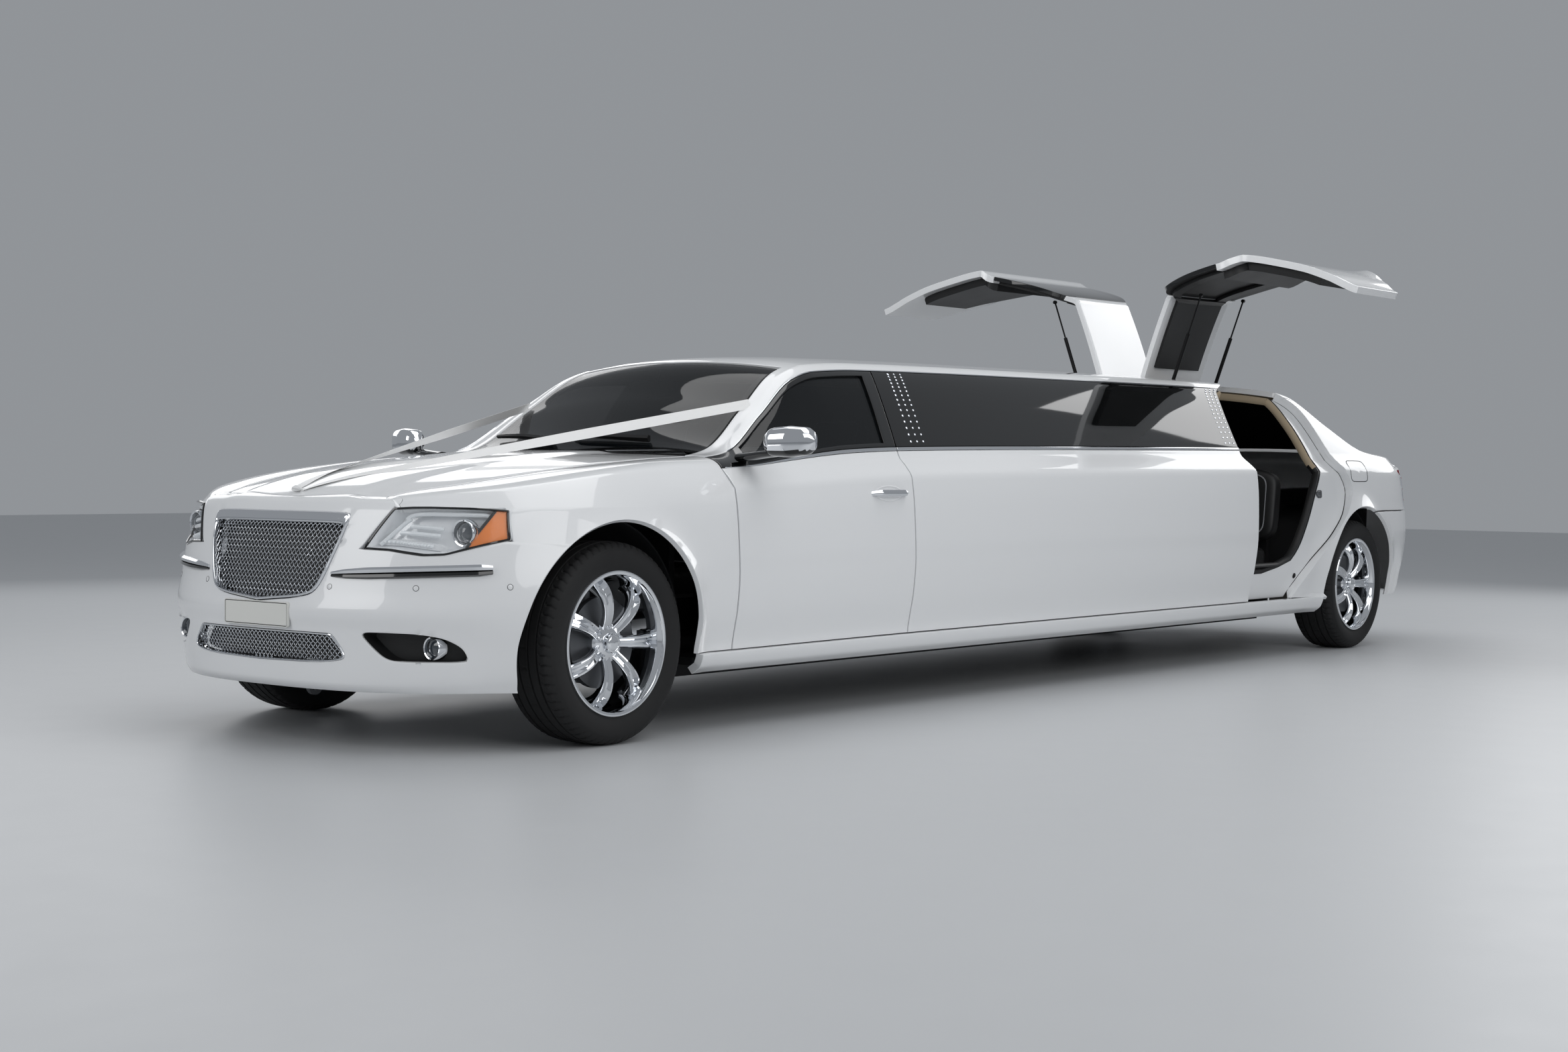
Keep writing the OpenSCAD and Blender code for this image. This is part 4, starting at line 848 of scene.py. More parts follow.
# The opening they close: recessed white flange, rubber seal and cloth edge
openEdge = dict(recess=0.046, low=0.27, spine=2.80, seal=0.015, cloth=0.013, clothFrom=1.03, sealDeep=0.010,
                clothDeep=0.015, clothInset=0.020)
flange = patch([shifted(gullRear, -seam["gull"]), sealRear, sealFront, shifted(gullFront, seam["gull"])],
               [8, 26, 3], [seam["panelLow"], openEdge["low"], 1.0, 2.0, openEdge["spine"], 2.84],
               [5, 22, 20, 14, 2], lambda r, c: not (0 < r < 4 and c == 1), lift=-openEdge["recess"])
bothSides("openingFlange", shell(*flange, 0.008), ["whitePaint"])


def openingPath(inset, lift, low, high):
    up = np.linspace(low, high, 70)
    rear = [[sealRear(t) + inset, t] for t in up]
    top = [[x, high] for x in np.linspace(rear[-1][0], sealFront(high) - inset, 12)[1:-1]]
    front = [[sealFront(t) - inset, t] for t in up[::-1]]
    bottom = [[x, low] for x in np.linspace(front[-1][0], rear[0][0], 20)[1:-1]]
    line = np.array(rear + top + front + bottom)
    out = skinOut(line[:, 0], line[:, 1])
    return skin(line[:, 0], line[:, 1]) - out * lift, out


sealPath, sealOut = openingPath(0.0, openEdge["recess"] + openEdge["sealDeep"], openEdge["low"],
                                openEdge["spine"])
bothSides("openingSeal", sweep(sealPath, sealOut, ringProfile(openEdge["seal"]), True), ["sealRubber"])
clothPath, clothOut = openingPath(openEdge["clothInset"], openEdge["recess"] + openEdge["clothDeep"],
                                  openEdge["low"] + 0.04, openEdge["spine"] - 0.03)
clothEdge = sweep(clothPath, clothOut, ringProfile(openEdge["cloth"], 10, 1.6), True)
clothKind = (clothEdge[0][clothEdge[1]].mean(1)[:, 2] < openEdge["clothFrom"]).astype(int)
bothSides("openingCloth", (*clothEdge, clothKind), ["beigeCloth", "blackLeather"])
stepT = np.linspace(seam["panelLow"], 1.86, 60)
stepX = gullRear(stepT) - seam["gull"] - 0.002
stepOut = skinOut(stepX, stepT)
stepRows = np.stack([skin(stepX, stepT) - stepOut * d for d in (0.012, openEdge["recess"])], 1)
bothSides("openingStep", sheetOf(stepRows, 0.004, 0.001), ["whitePaint"])
print("gull doors made")

# Windscreen, rear window, cowl and wipers
screenFront = tableOf([[2, xF - 0.775], [3, xF - 0.690], [4, xF - 0.775]])
screenRear = tableOf([[2, xF - 1.370], [3, xF - 1.322], [4, xF - 1.370]])
screen = patch([screenRear, screenFront], [30], [2.075, 3.925], [40], lift=-0.004)
piece("screenGlass", shell(*screen, 0.005, 0.001), ["tintedGlass"], stands=["windscreen"])
band = patch([screenRear, shifted(screenRear, 0.05), shifted(screenFront, -0.06), screenFront], [3, 24, 3],
             [2.075, 2.13, 3.87, 3.925], [3, 36, 3], lambda r, c: not (r == 1 and c == 1), lift=-0.011)
piece("screenBand", shell(*band, 0.002, 0.0005), ["glossTrim"])
rearScreen = patch([tableOf([[2, xR - 0.300], [3, xR - 0.312], [4, xR - 0.300]]),
                    tableOf([[2, xR + 0.336], [3, xR + 0.316], [4, xR + 0.336]])], [30], [2.04, 3.96], [40],
                   lift=-0.003)
piece("rearScreen", shell(*rearScreen, 0.006, 0.002), ["privacyGlass"], stands=["rear_window"])
cowl = patch([shifted(screenFront, 0.004), shifted(hoodRear, 0.03)], [6], [2.06, 3.94], [40], lift=-0.026)
piece("cowl", shell(*cowl, 0.012), ["blackPlastic"])
wiper = dict(foot=[2.45, 3.18], reach=0.62, lift=0.016)
blades = []
for foot in wiper["foot"]:
    t = np.linspace(foot, foot + wiper["reach"], 26)
    x = screenFront(t) - 0.035 - 0.05 * np.linspace(0, 1, 26) ** 1.5
    out = skinOut(x, t)
    line = skin(x, t) + out * wiper["lift"]
    blades.append(sweep(line, out, [[-0.005, -0.012], [0.005, -0.012], [0.009, 0.004], [0, 0.010],
                                    [-0.009, 0.004]],
                        scale=np.linspace(1.3, 0.7, 26)))
piece("wipers", joined(*blades), ["blackPlastic"])
print("screens made")


def loft(rings, caps=(True, True), loop=False):
    # Closed solid through rings of points; an end ring closes to its middle, or the last joins the first
    rings = [np.asarray(r, float) for r in rings]
    count, around = len(rings), len(rings[0])
    points = np.concatenate(rings)
    c = np.arange(around)
    nextC = (c + 1) % around
    faces = []
    for r in range(count if loop else count - 1):
        a, b = r * around, (r + 1) % count * around
        faces.append(np.stack([a + c, a + nextC, b + nextC, b + c], 1))
    if not loop:
        for ring, cap in zip((0, count - 1), caps):
            if cap:
                middle = np.full(around, len(points))
                points = np.concatenate([points, rings[ring].mean(0)[None]])
                faces.append(np.stack([ring * around + c, middle, middle, ring * around + nextC], 1))
    return points, np.concatenate(faces)


def scaled(outline, factor, middle=None):
    middle = outline.mean(0) if middle is None else np.asarray(middle)
    return middle + (outline - middle) * factor


def onNose(outline, back):
    return nosePoint(outline[:, 0], outline[:, 1], back)


# Main grille: chrome surround with a deep upper bar, woven wire set back inside it and a dark backing
def innerOf(outline, spec):
    y, z = outline[:, 0], outline[:, 1]
    share = (z - z.min()) / (z.max() - z.min())
    low, high = z.min() + spec["footBar"], z.max() - spec["bar"]
    return np.stack([y * (1 - spec["frame"] / np.abs(y).max()), low + share * (high - low)], 1)


def surround(outline, inner, spec):
    edge = noseOut(outline[:, 0], outline[:, 1])
    ring = [onNose(outline, spec["back"]), onNose(outline, 0.004) + edge * 0.001]
    for share, proud in ((0.10, 0.0055), (0.35, 0.0085), (0.70, 0.0075), (0.93, 0.002)):
        band = outline + (inner - outline) * share
        ring.append(onNose(band, 0) + noseOut(band[:, 0], band[:, 1]) * proud * spec["proud"])
    ring += [onNose(inner, 0.008), onNose(inner, spec["back"] + 0.008)]
    return loft(ring, loop=True)


def woven(inner, spec):
    # Two families of wires at a right angle that pass over and under each other
    clip = scaled(inner, 1.012)
    reach = int(0.8 / spec["pitch"])
    wires = []
    for family in (0, 1):
        for i in range(-reach, reach + 1):
            along = np.arange(-reach, reach + 0.01, 0.5)
            a, b = (np.full(len(along), float(i)), along) if family == 0 else (along,
                                                                               np.full(len(along), float(i)))
            y = (a - b) * spec["pitch"] * math.sqrt(0.5)
            z = (a + b) * spec["pitch"] * math.sqrt(0.5) + spec["meshZ"]
            kept = np.flatnonzero(inside(clip, y, z))
            if len(kept) < 3:
                continue
            y, z, phase = y[kept], z[kept], (a + b)[kept]
            over = np.cos(math.pi * phase) * spec["wire"] * (0.5 if family == 0 else -0.5)
            wires.append(sweep(nosePoint(y, z, spec["back"]) + np.stack([over, 0 * over, 0 * over], 1),
                               [1.0, 0, 0], ringProfile(spec["wire"] / 2, 5)))
    return joined(*wires)


def backing(inner, depth):
    big = scaled(inner, 1.03)
    return loft([onNose(scaled(big, 0.3), depth), onNose(big, depth), onNose(big, depth + 0.006),
                 onNose(scaled(big, 0.3), depth + 0.006)])


upperSpec = dict(grille, footBar=0.012, proud=1.0, meshZ=0.66)
lowerSpec = dict(grille, footBar=0.006, bar=0.007, frame=0.008, proud=0.45, meshZ=0.36)
upperInner, lowerInner = innerOf(grilleOutline, upperSpec), innerOf(lowerOutline, lowerSpec)
piece("grilleSurround", joined(surround(grilleOutline, upperInner, upperSpec),
                               surround(lowerOutline, lowerInner, lowerSpec)), ["chrome"], stands=["grilles"],
      solid=True)
piece("grilleMesh", woven(upperInner, upperSpec), ["chrome"], weighted=False)
piece("lowerGrilleMesh", woven(lowerInner, lowerSpec), ["chrome"], weighted=False)
piece("grilleBacking", joined(backing(upperInner, 0.058), backing(lowerInner, 0.058)), ["blackPlastic"],
      solid=True)
print("grilles made")

# Headlamps: plated tray, projector, light guides and an amber end under a clear cover
lamp = dict(low=[[0.452, 0.706], [0.545, 0.703], [0.60, 0.695], [0.66, 0.687], [0.715, 0.690], [0.775, 0.713],
                 [0.848, 0.742]],
            high=[[0.527, 0.842], [0.585, 0.846], [0.64, 0.847], [0.70, 0.846], [0.75, 0.845], [0.80, 0.842],
                  [0.832, 0.838]],
            tray=0.062, wall=0.016, projector=(0.68, 0.46, 0.046), guide=0.0075, amber=[0.79, 0.87], leds=15)


def lampSpot(u, v, back=0.0):
    low, high = np.array(lamp["low"]), np.array(lamp["high"])
    stops = np.linspace(0, 1, len(low))
    a = np.stack([np.interp(u, stops, low[:, k]) for k in (0, 1)], -1)
    b = np.stack([np.interp(u, stops, high[:, k]) for k in (0, 1)], -1)
    spot = a + (b - a) * np.asarray(v)[..., None]
    return nosePoint(spot[..., 0], spot[..., 1], back)


def lampGrid(u0, u1, rows, cols, depth):
    # u0 and u1 give the ends at the foot and at the top
    v, s = np.meshgrid(np.linspace(0, 1, rows + 1), np.linspace(1, 0, cols + 1), indexing="ij")
    u = (u0[0] + (u0[1] - u0[0]) * v) * (1 - s) + (u1[0] + (u1[1] - u1[0]) * v) * s
    grid = lampSpot(u, v, depth(u, v))
    return gridPart(grid, np.ones((rows, cols)))


def trayDepth(u, v):
    edge = np.minimum(np.minimum(u, 1 - u) * 0.40, np.minimum(v, 1 - v) * 0.13)
    return 0.004 + (lamp["tray"] - 0.004) * np.clip(edge / lamp["wall"], 0, 1) ** 0.7


def lampLine(path, back):
    path = np.array(path, float)
    return lampSpot(path[:, 0], path[:, 1], back)


def rimOf(across, upward):
    # Walk round a lamp's outline in shares u and v
    path = [[u, 0] for u in np.linspace(0, 1, across)]
    path += [[1, v] for v in np.linspace(0, 1, upward)[1:]]
    path += [[u, 1] for u in np.linspace(1, 0, across)[1:]]
    path += [[0, v] for v in np.linspace(1, 0, upward)[1:-1]]
    return np.array(path)


def rounded(path, times=3):
    # Softens the corners of an open path and keeps its ends
    path = np.array(path, float)
    for _ in range(times):
        ahead = np.stack([path[:-1] * 0.75 + path[1:] * 0.25, path[:-1] * 0.25 + path[1:] * 0.75], 1)
        ahead = ahead.reshape(-1, path.shape[1])
        path = np.concatenate([path[:1], ahead, path[-1:]])
    return path


forwardAxis = np.array([1.0, 0, 0])
# The tray's near-white colour is partly a painted highlight for its plated shine
bothSides("lampTray", shell(*lampGrid((0, 0), (1, 1), 26, 60, trayDepth), 0.004, 0.001), ["lampBowlPaintedShine"],
          stands=(["front_lamps"], []))
bothSides("lampCover", shell(*lampGrid((0, 0), (1, 1), 20, 48, lambda u, v: 0.0005 + 0 * u), 0.003, 0.001),
          ["lampLens"])
rimLine = lampLine(rimOf(30, 12), 0.001)
bothSides("lampGasket", sweep(rimLine, forwardAxis, ringProfile(0.0042, 6), True), ["glossTrim"], solid=True)
pu, pv, pr = lamp["projector"]
bulbSpot = lampSpot(pu, pv, 0.034)
bulbAxis = unit(np.array([1.0, 0.12, -0.02]))
bezel = lathe([[pr * 0.72, -0.020], [pr * 1.02, -0.022], [pr * 1.06, 0.004], [pr, 0.012], [pr * 0.88, 0.010],
               [pr * 0.80, 0.0]], bulbSpot, bulbAxis, 40, True)
bulbEye = lathe([[0.0004, 0.014], [pr * 0.3, 0.012], [pr * 0.55, 0.006], [pr * 0.74, -0.004],
                 [pr * 0.74, -0.014], [0.0004, -0.014]], bulbSpot, bulbAxis, 40)
bothSides("lampBezel", bezel, ["chrome"], solid=True)
bothSides("lampEye", bulbEye, ["bulbGlass"], solid=True)
guidePaths = [[[0.14, 0.40], [0.30, 0.40], [0.50, 0.40]], [[0.20, 0.56], [0.36, 0.56], [0.50, 0.54]],
              [[0.13, 0.72], [0.17, 0.84], [0.40, 0.86], [0.66, 0.86], [0.82, 0.84], [0.83, 0.62],
               [0.81, 0.40]],
              [[0.05, 0.10], [0.13, 0.62], [0.17, 0.72]]]
guides = [sweep(lampLine(rounded(p), 0.030), forwardAxis, ringProfile(lamp["guide"], 8)) for p in guidePaths]
ledPath = np.stack([np.linspace(0.07, 0.47, lamp["leds"]), np.full(lamp["leds"], 0.17)], 1)
leds = [lathe([[0.0003, 0.006], [0.004, 0.0045], [0.0062, 0.0], [0.0062, -0.006], [0.0003, -0.006]],
              lampSpot(u, v, 0.028), forwardAxis, 10) for u, v in ledPath]
bothSides("lampGuides", joined(*guides, *leds), ["lightGuide"], solid=True)
shelf = sweep(lampLine(rounded([[0.05, 0.16], [0.30, 0.16], [0.52, 0.16], [0.60, 0.08]]), 0.038), forwardAxis,
              [[-0.012, -0.004], [0.012, -0.004], [0.010, 0.004], [-0.010, 0.004]])
# The shelf shares the bowl's near-white colour, partly a painted highlight for plated shine
bothSides("lampShelf", shelf, ["lampBowlPaintedShine"], solid=True)
amberGrid = lampGrid((lamp["amber"][0], lamp["amber"][1]), (0.985, 0.985), 12, 12, lambda u, v: 0.010 + 0 * u)
bothSides("lampAmber", shell(*amberGrid, 0.014, 0.003), ["amberLens"])
divide = lampLine([[lamp["amber"][0] + (lamp["amber"][1] - lamp["amber"][0]) * v - 0.012, v]
                   for v in np.linspace(0.04, 0.96, 16)], 0.012)
bothSides("lampDivide", sweep(divide, forwardAxis, ringProfile(0.006, 6)), ["blackPlastic"], solid=True)
print("headlamps made")


# Fog lamps in black pockets
def pocket(outline, depth):
    foot = scaled(outline, 0.95)
    big = scaled(outline, 1.03)
    return loft([onNose(scaled(foot, 0.4), depth), onNose(foot, depth), onNose(outline, 0.012),
                 onNose(outline, 0.008), onNose(big, 0.016), onNose(big, depth + 0.006),
                 onNose(scaled(big, 0.4), depth + 0.006)])


fogSpot = nosePoint(np.array(fog["y"]), np.array(fog["z"]), fog["deep"])
fr = fog["radius"]
fogRing = lathe([[fr * 0.80, 0.0], [fr, -0.002], [fr * 1.02, 0.030], [fr * 0.97, 0.036], [fr * 0.86, 0.034],
                 [fr * 0.80, 0.022]], fogSpot, forwardAxis, 40, True)
fogEye = lathe([[0.0004, 0.030], [fr * 0.3, 0.0285], [fr * 0.6, 0.025], [fr * 0.84, 0.019],
                [fr * 0.84, 0.004], [0.0004, 0.004]], fogSpot, forwardAxis, 40)
bothSides("fogPocket", pocket(pocketOutline, fog["deep"]), ["blackPlastic"], solid=True)
bothSides("fogRing", fogRing, ["chrome"], solid=True)
bothSides("fogEye", fogEye, ["bulbGlass"], solid=True)

# Bright strips, ring sensors and a blank plate on the bumper
strip = dict(y=(0.338, 0.826), z=(0.614, 0.638), size=1.45,
             sensors=[[0.338, 0.572], [0.648, 0.575], [0.858, 0.580]], ring=0.0105)
stripY = np.linspace(*strip["y"], 40)
stripZ = np.interp(stripY, strip["y"], strip["z"])
stripOut = noseOut(stripY, stripZ)
stripLine = nosePoint(stripY, stripZ)
stripSize = np.interp(np.linspace(0, 1, 40), [0, 0.12, 0.3, 0.95, 1],
                      [0.45, 0.80, 1, 1, 0.75]) * strip["size"]
brightHalf = [[-0.015, -0.002], [-0.0135, 0.007], [-0.007, 0.012], [0.0, 0.010], [0.003, 0.004],
              [0.003, -0.002]]
darkHalf = [[0.0025, -0.002], [0.0035, 0.008], [0.0105, 0.009], [0.0135, 0.004], [0.0140, -0.002]]
bothSides("bumperStrip", sweep(stripLine, stripOut, brightHalf, scale=stripSize), ["chrome"], solid=True)
bothSides("bumperStripFoot", sweep(stripLine, stripOut, darkHalf, scale=stripSize), ["glossTrim"], solid=True)
eyes, rings = [], []
for y, z in strip["sensors"]:
    spot, out = nosePoint(np.array(y), np.array(z)), noseOut(np.array(y), np.array(z))
    size = strip["ring"]
    rings.append(lathe([[size * 0.86, -0.003], [size, -0.003], [size, 0.0008], [size * 0.86, 0.0008]], spot,
                       out, 24, True))
    eyes.append(lathe([[0.0003, 0.0016], [size * 0.5, 0.0014], [size * 0.85, 0.0006], [size * 0.85, -0.003],
                       [0.0003, -0.003]],
                      spot, out, 24))
bothSides("sensorRings", joined(*rings), ["glossTrim"], solid=True)
bothSides("sensorEyes", joined(*eyes), ["whitePaint"], solid=True)
plate = dict(half=0.175, low=0.424, high=0.512, x=xF + 0.884, corner=0.010, rim=0.006, thick=0.004)


def plateRing(inset, x):
    corners, turn = [], np.linspace(0, math.pi / 2, 6)
    r = max(plate["corner"] - inset, 0.002)
    y1, z0, z1 = plate["half"] - inset - r, plate["low"] + inset + r, plate["high"] - inset - r
    for k, (cy, cz) in enumerate(((y1, z1), (-y1, z1), (-y1, z0), (y1, z0))):
        corners += [[x, cy + r * math.cos(a + k * math.pi / 2),
                     cz + r * math.sin(a + k * math.pi / 2)] for a in turn]
    return np.array(corners)


face = plate["x"] + plate["thick"]
plateRings = [plateRing(0.0, plate["x"] - 0.006), plateRing(0.0, face - 0.001), plateRing(0.001, face),
              plateRing(0.003, face), plateRing(0.0035, face - 0.0012),
              plateRing(plate["rim"], face - 0.0012), plateRing(plate["rim"] + 0.001, face - 0.0004),
              plateRing(0.03, face - 0.0004)]
plateSolid = loft(plateRings)
plateKinds = np.zeros(len(plateSolid[1]), int)
plateKinds[4 * 24:5 * 24] = 1
piece("frontPlate", (*plateSolid, plateKinds), ["plateBlank", "glossTrim"], solid=True, sharp=30)
print("front details made")

# Tyres with four grooves and cut shoulders, no lettering
tyre = dict(radius=car["tyre"], half=car["tyreWide"] / 2, bead=0.2575, pitches=64, steps=6, tread=0.094,
            treadSteps=40, grooves=(-0.064, -0.024, 0.024, 0.064), grooveHalf=0.0045, deep=0.007,
            shoulder=0.071)
side = np.array([[tyre["bead"], 0.104], [0.263, 0.110], [0.268, 0.1105], [0.274, 0.1145], [0.290, 0.1195],
                 [0.306, 0.1225], [0.322, 0.1220], [0.330, 0.1205], [0.332, 0.1190], [0.341, 0.1150],
                 [0.350, 0.1080], [0.3565, 0.1000]])
treadA = np.linspace(tyre["tread"], -tyre["tread"], tyre["treadSteps"] + 1)
# Extra columns at the walls of each groove
walls = np.concatenate([[g - tyre["grooveHalf"], g - tyre["grooveHalf"] * 0.6, g + tyre["grooveHalf"] * 0.6,
                         g + tyre["grooveHalf"]] for g in tyre["grooves"]])
treadA = np.unique(np.round(np.concatenate([treadA, walls]), 5))[::-1]
treadR = tyre["radius"] - 0.0045 * (np.abs(treadA) / tyre["tread"]) ** 4
inGroove = np.min(np.abs(treadA[:, None] - np.array(tyre["grooves"])), 1) < tyre["grooveHalf"] * 0.8
radii = np.concatenate([side[:, 0], treadR - inGroove * tyre["deep"], side[::-1, 0],
                        [tyre["bead"] - 0.004] * 2])
along = np.concatenate([side[:, 1], treadA, -side[::-1, 1], [-0.095, 0.095]])
turns = tyre["pitches"] * tyre["steps"]
phi = np.arange(turns) * 2 * math.pi / turns
shoulders = (np.abs(along) > tyre["shoulder"]) & (radii > 0.349)
middleRibs = (np.abs(along) < 0.018) & (radii > 0.359)
slant = np.round(np.abs(along) * 45).astype(int)
step = (np.arange(turns)[:, None] + slant[None, :]) % tyre["steps"]
cut = (step == 0) & shoulders[None, :]
sipe = ((np.arange(turns)[:, None] + slant[None, :]) % (2 * tyre["steps"]) == 0) & middleRibs[None, :]
tyreR = radii[None, :] - cut * 0.0055 - sipe * 0.003
ring = np.stack([tyreR * np.cos(phi)[:, None], np.broadcast_to(along, tyreR.shape),
                 tyreR * np.sin(phi)[:, None]], -1)
tyrePart = loft(list(ring), loop=True)

# Chrome wheels: polished lip and barrel, seven bowed spokes with twin ridges, plain cap
wheel = dict(spokes=7, cap=0.036, nuts=5, nutCircle=0.058)
rimPart = lathe([[0.252, -0.108], [0.262, -0.114], [0.260, -0.119], [0.246, -0.112], [0.230, -0.085],
                 [0.224, -0.02], [0.229, 0.06], [0.235, 0.086], [0.2375, 0.097], [0.2435, 0.1035],
                 [0.2465, 0.1125], [0.2535, 0.1155], [0.2600, 0.1145], [0.2630, 0.1080], [0.2560, 0.1040],
                 [0.2480, 0.0930], [0.2440, 0.05], [0.2400, -0.05]],
                [0, 0, 0], [0, 1, 0], 120, True)
spokeRow = [[0.034, 0.058], [0.060, 0.070], [0.085, 0.084], [0.115, 0.095], [0.145, 0.0985], [0.175, 0.094],
            [0.200, 0.082], [0.218, 0.064], [0.229, 0.044], [0.236, 0.024]]
spokeLine = np.array([[r, a] for r, a in rounded(spokeRow, 1)])
spokeSize = np.interp(spokeLine[:, 0], [0.034, 0.07, 0.13, 0.19, 0.236], [1.05, 1.02, 1.12, 1.36, 1.62])
spokeSection = np.array([[-0.0195, -0.016], [-0.0215, -0.004], [-0.0195, 0.004], [-0.0155, 0.0085],
                         [-0.0105, 0.0085], [-0.0065, 0.003], [-0.003, -0.001], [0.003, -0.001],
                         [0.0065, 0.003], [0.0105, 0.0085], [0.0155, 0.0085], [0.0195, 0.004],
                         [0.0215, -0.004], [0.0195, -0.016]])
spokeParts = []
for k in range(wheel["spokes"]):
    a = math.pi + k * 2 * math.pi / wheel["spokes"]
    path = np.stack([spokeLine[:, 0] * math.cos(a), spokeLine[:, 1], spokeLine[:, 0] * math.sin(a)], 1)
    spokeParts.append(sweep(path, [0, 1.0, 0], spokeSection, scale=spokeSize))
hubPart = lathe([[0.0005, 0.100], [0.016, 0.0995], [0.024, 0.098], [0.0265, 0.096], [0.028, 0.0975],
                 [0.033, 0.0965], [wheel["cap"], 0.092], [0.037, 0.078], [0.048, 0.076], [0.068, 0.070],
                 [0.075, 0.060], [0.075, 0.022], [0.0005, 0.022]], [0, 0, 0], [0, 1, 0], 64)
nutParts = []
for k in range(wheel["nuts"]):
    a = 0.3 + k * 2 * math.pi / wheel["nuts"]
    spot = [wheel["nutCircle"] * math.cos(a), 0.070, wheel["nutCircle"] * math.sin(a)]
    nutParts.append(lathe([[0.0005, 0.014], [0.006, 0.013], [0.0085, 0.009], [0.0085, 0.0], [0.0005, 0.0]],
                          spot, [0, 1, 0], 6))
wheelPart = joined(rimPart, *spokeParts, hubPart, *nutParts)
for end, x in (("Front", xF), ("Rear", xR)):
    for sideName, sign in (("Left", 1), ("Right", -1)):
        body = f"wheel_{end.lower()}_{sideName.lower()}"
        spot = np.array([x, sign * car["track"] / 2, car["tyre"]])
        for name, part, mat, node, more in (("tyre", tyrePart, "tyreRubber", "tyre", 30),
                                            ("wheel", wheelPart, "chrome", "wheel", 32)):
            placed = (part[0] * [1, sign, 1] + spot, part[1])
            piece(name + end + sideName, placed, [mat], body, [body.replace("wheel", node)], sharp=more,
                  solid=True)
print("wheels made")

# Mirrors: chrome housing over a black foot, flat glass behind
mirror = dict(x=xF - 0.775, y=halfW + 0.015, z=1.090, long=0.205, sweepBack=0.040, glass=0.036)
mirrorShare = np.linspace(0, 1, 22)
tall = np.interp(mirrorShare, [0, 0.06, 0.2, 0.55, 0.85, 0.96, 1],
                 [0.010, 0.036, 0.055, 0.060, 0.052, 0.034, 0.008])
deep = np.interp(mirrorShare, [0, 0.06, 0.2, 0.55, 0.85, 0.96, 1],
                 [0.008, 0.034, 0.058, 0.062, 0.046, 0.028, 0.006])
around = fullTurn(36)
rings = []
for s, h, d in zip(mirrorShare, tall, deep):
    cx, cyAt = mirror["x"] - mirror["sweepBack"] * s, mirror["y"] + mirror["long"] * s
    c, n = np.cos(around), np.sin(around)
    bulge = np.sign(c) * np.abs(c) ** 0.8 * d
    x = cx + np.where(bulge < -0.6 * d, -0.6 * d, bulge)
    z = mirror["z"] + np.sign(n) * np.abs(n) ** 0.75 * h + 0.006 * s
    rings.append(np.stack([x, np.full(len(x), cyAt), z], 1))
housing = loft(rings)
centres = housing[0][housing[1]].mean(1)
housingKind = (centres[:, 2] < mirror["z"] - 0.030).astype(int)
bothSides("mirrorHousing", (*housing, housingKind), ["chrome", "glossTrim"], doorBodies,
          (["mirror_left"], ["mirror_right"]), solid=True)
footLine = np.array([[mirror["x"] - 0.010, halfW - 0.110, 1.032], [mirror["x"] - 0.010, halfW - 0.050, 1.038],
                     [mirror["x"] - 0.012, halfW + 0.010, 1.046], [mirror["x"] - 0.018, halfW + 0.070, 1.050],
                     [mirror["x"] - 0.026, halfW + 0.130, 1.054]])
bothSides("mirrorFoot", sweep(rounded(footLine, 2), [0, 0, 1.0], ringProfile(0.038, 16, 0.42),
                              scale=np.linspace(1.15, 0.75, len(rounded(footLine, 2)))), ["glossTrim"],
          doorBodies, solid=True)
glassC, glassN = squircle(around, 0.6)
glassRings = []
for factor, push in ((0.4, 0.0), (1.0, 0.0), (1.0, 0.004), (0.4, 0.004)):
    y = mirror["y"] + mirror["long"] * (0.52 + 0.40 * factor * glassC)
    z = mirror["z"] + 0.004 + 0.046 * factor * glassN
    share = (y - mirror["y"]) / mirror["long"]
    x = mirror["x"] - mirror["sweepBack"] * share - mirror["glass"] - 0.003 + push
    glassRings.append(np.stack([x, y, z], 1))
bothSides("mirrorGlass", loft(glassRings), ["chrome"], doorBodies, solid=True)

# Door handles in shallow cups
handle = dict(x=(xF - 1.745, xF - 1.505), z=0.893, stand=0.030, bar=0.0125, cup=(0.092, 0.030), cupRim=0.004)
handleX = np.linspace(*handle["x"], 28)
handleT = shareOf(handleX, handle["z"])
handleOut = skinOut(handleX, handleT)
bow = np.clip(np.sin(np.linspace(0, math.pi, 28)) * 2.2, 0, 1) * handle["stand"] - 0.004
bothSides("doorHandle", sweep(skin(handleX, handleT) + handleOut * bow[:, None], handleOut,
                              ringProfile(handle["bar"], 12, 0.62),
                              scale=np.interp(np.linspace(0, 1, 28), [0, 0.15, 0.85, 1],
                                              [0.75, 1.05, 1.05, 0.75])),
          ["chrome"], doorBodies, solid=True)
cupTurn = fullTurn(48)
cupX = np.mean(handle["x"]) + handle["cup"][0] * np.cos(cupTurn)
cupZ = handle["z"] + handle["cup"][1] * np.sin(cupTurn)
cupT = shareOf(cupX, cupZ)
bothSides("handleCup", sweep(skin(cupX, cupT), skinOut(cupX, cupT), ringProfile(handle["cupRim"], 8, 0.45),
                             True),
          ["whitePaint"], doorBodies, solid=True)
print("mirrors and handles made")


def tailTurn(a, z, ahead=0.0):
    n = 2 / car["tailPower"]
    x = xR - tailAt(z) * np.cos(a) ** n
    y = faceWidth(z, xR) * np.sin(a) ** n
    return np.stack([x + ahead, y + flareAt(x, z), z + 0 * y], -1)


# Tail lamps wrap round the corners: ruby lens in a chrome bezel, with three light bars
tailLamp = dict(low=0.788, high=1.018, inner=0.552, outer=math.radians(61), bezel=0.005,
                bars=(0.22, 0.50, 0.78), bar=0.009)


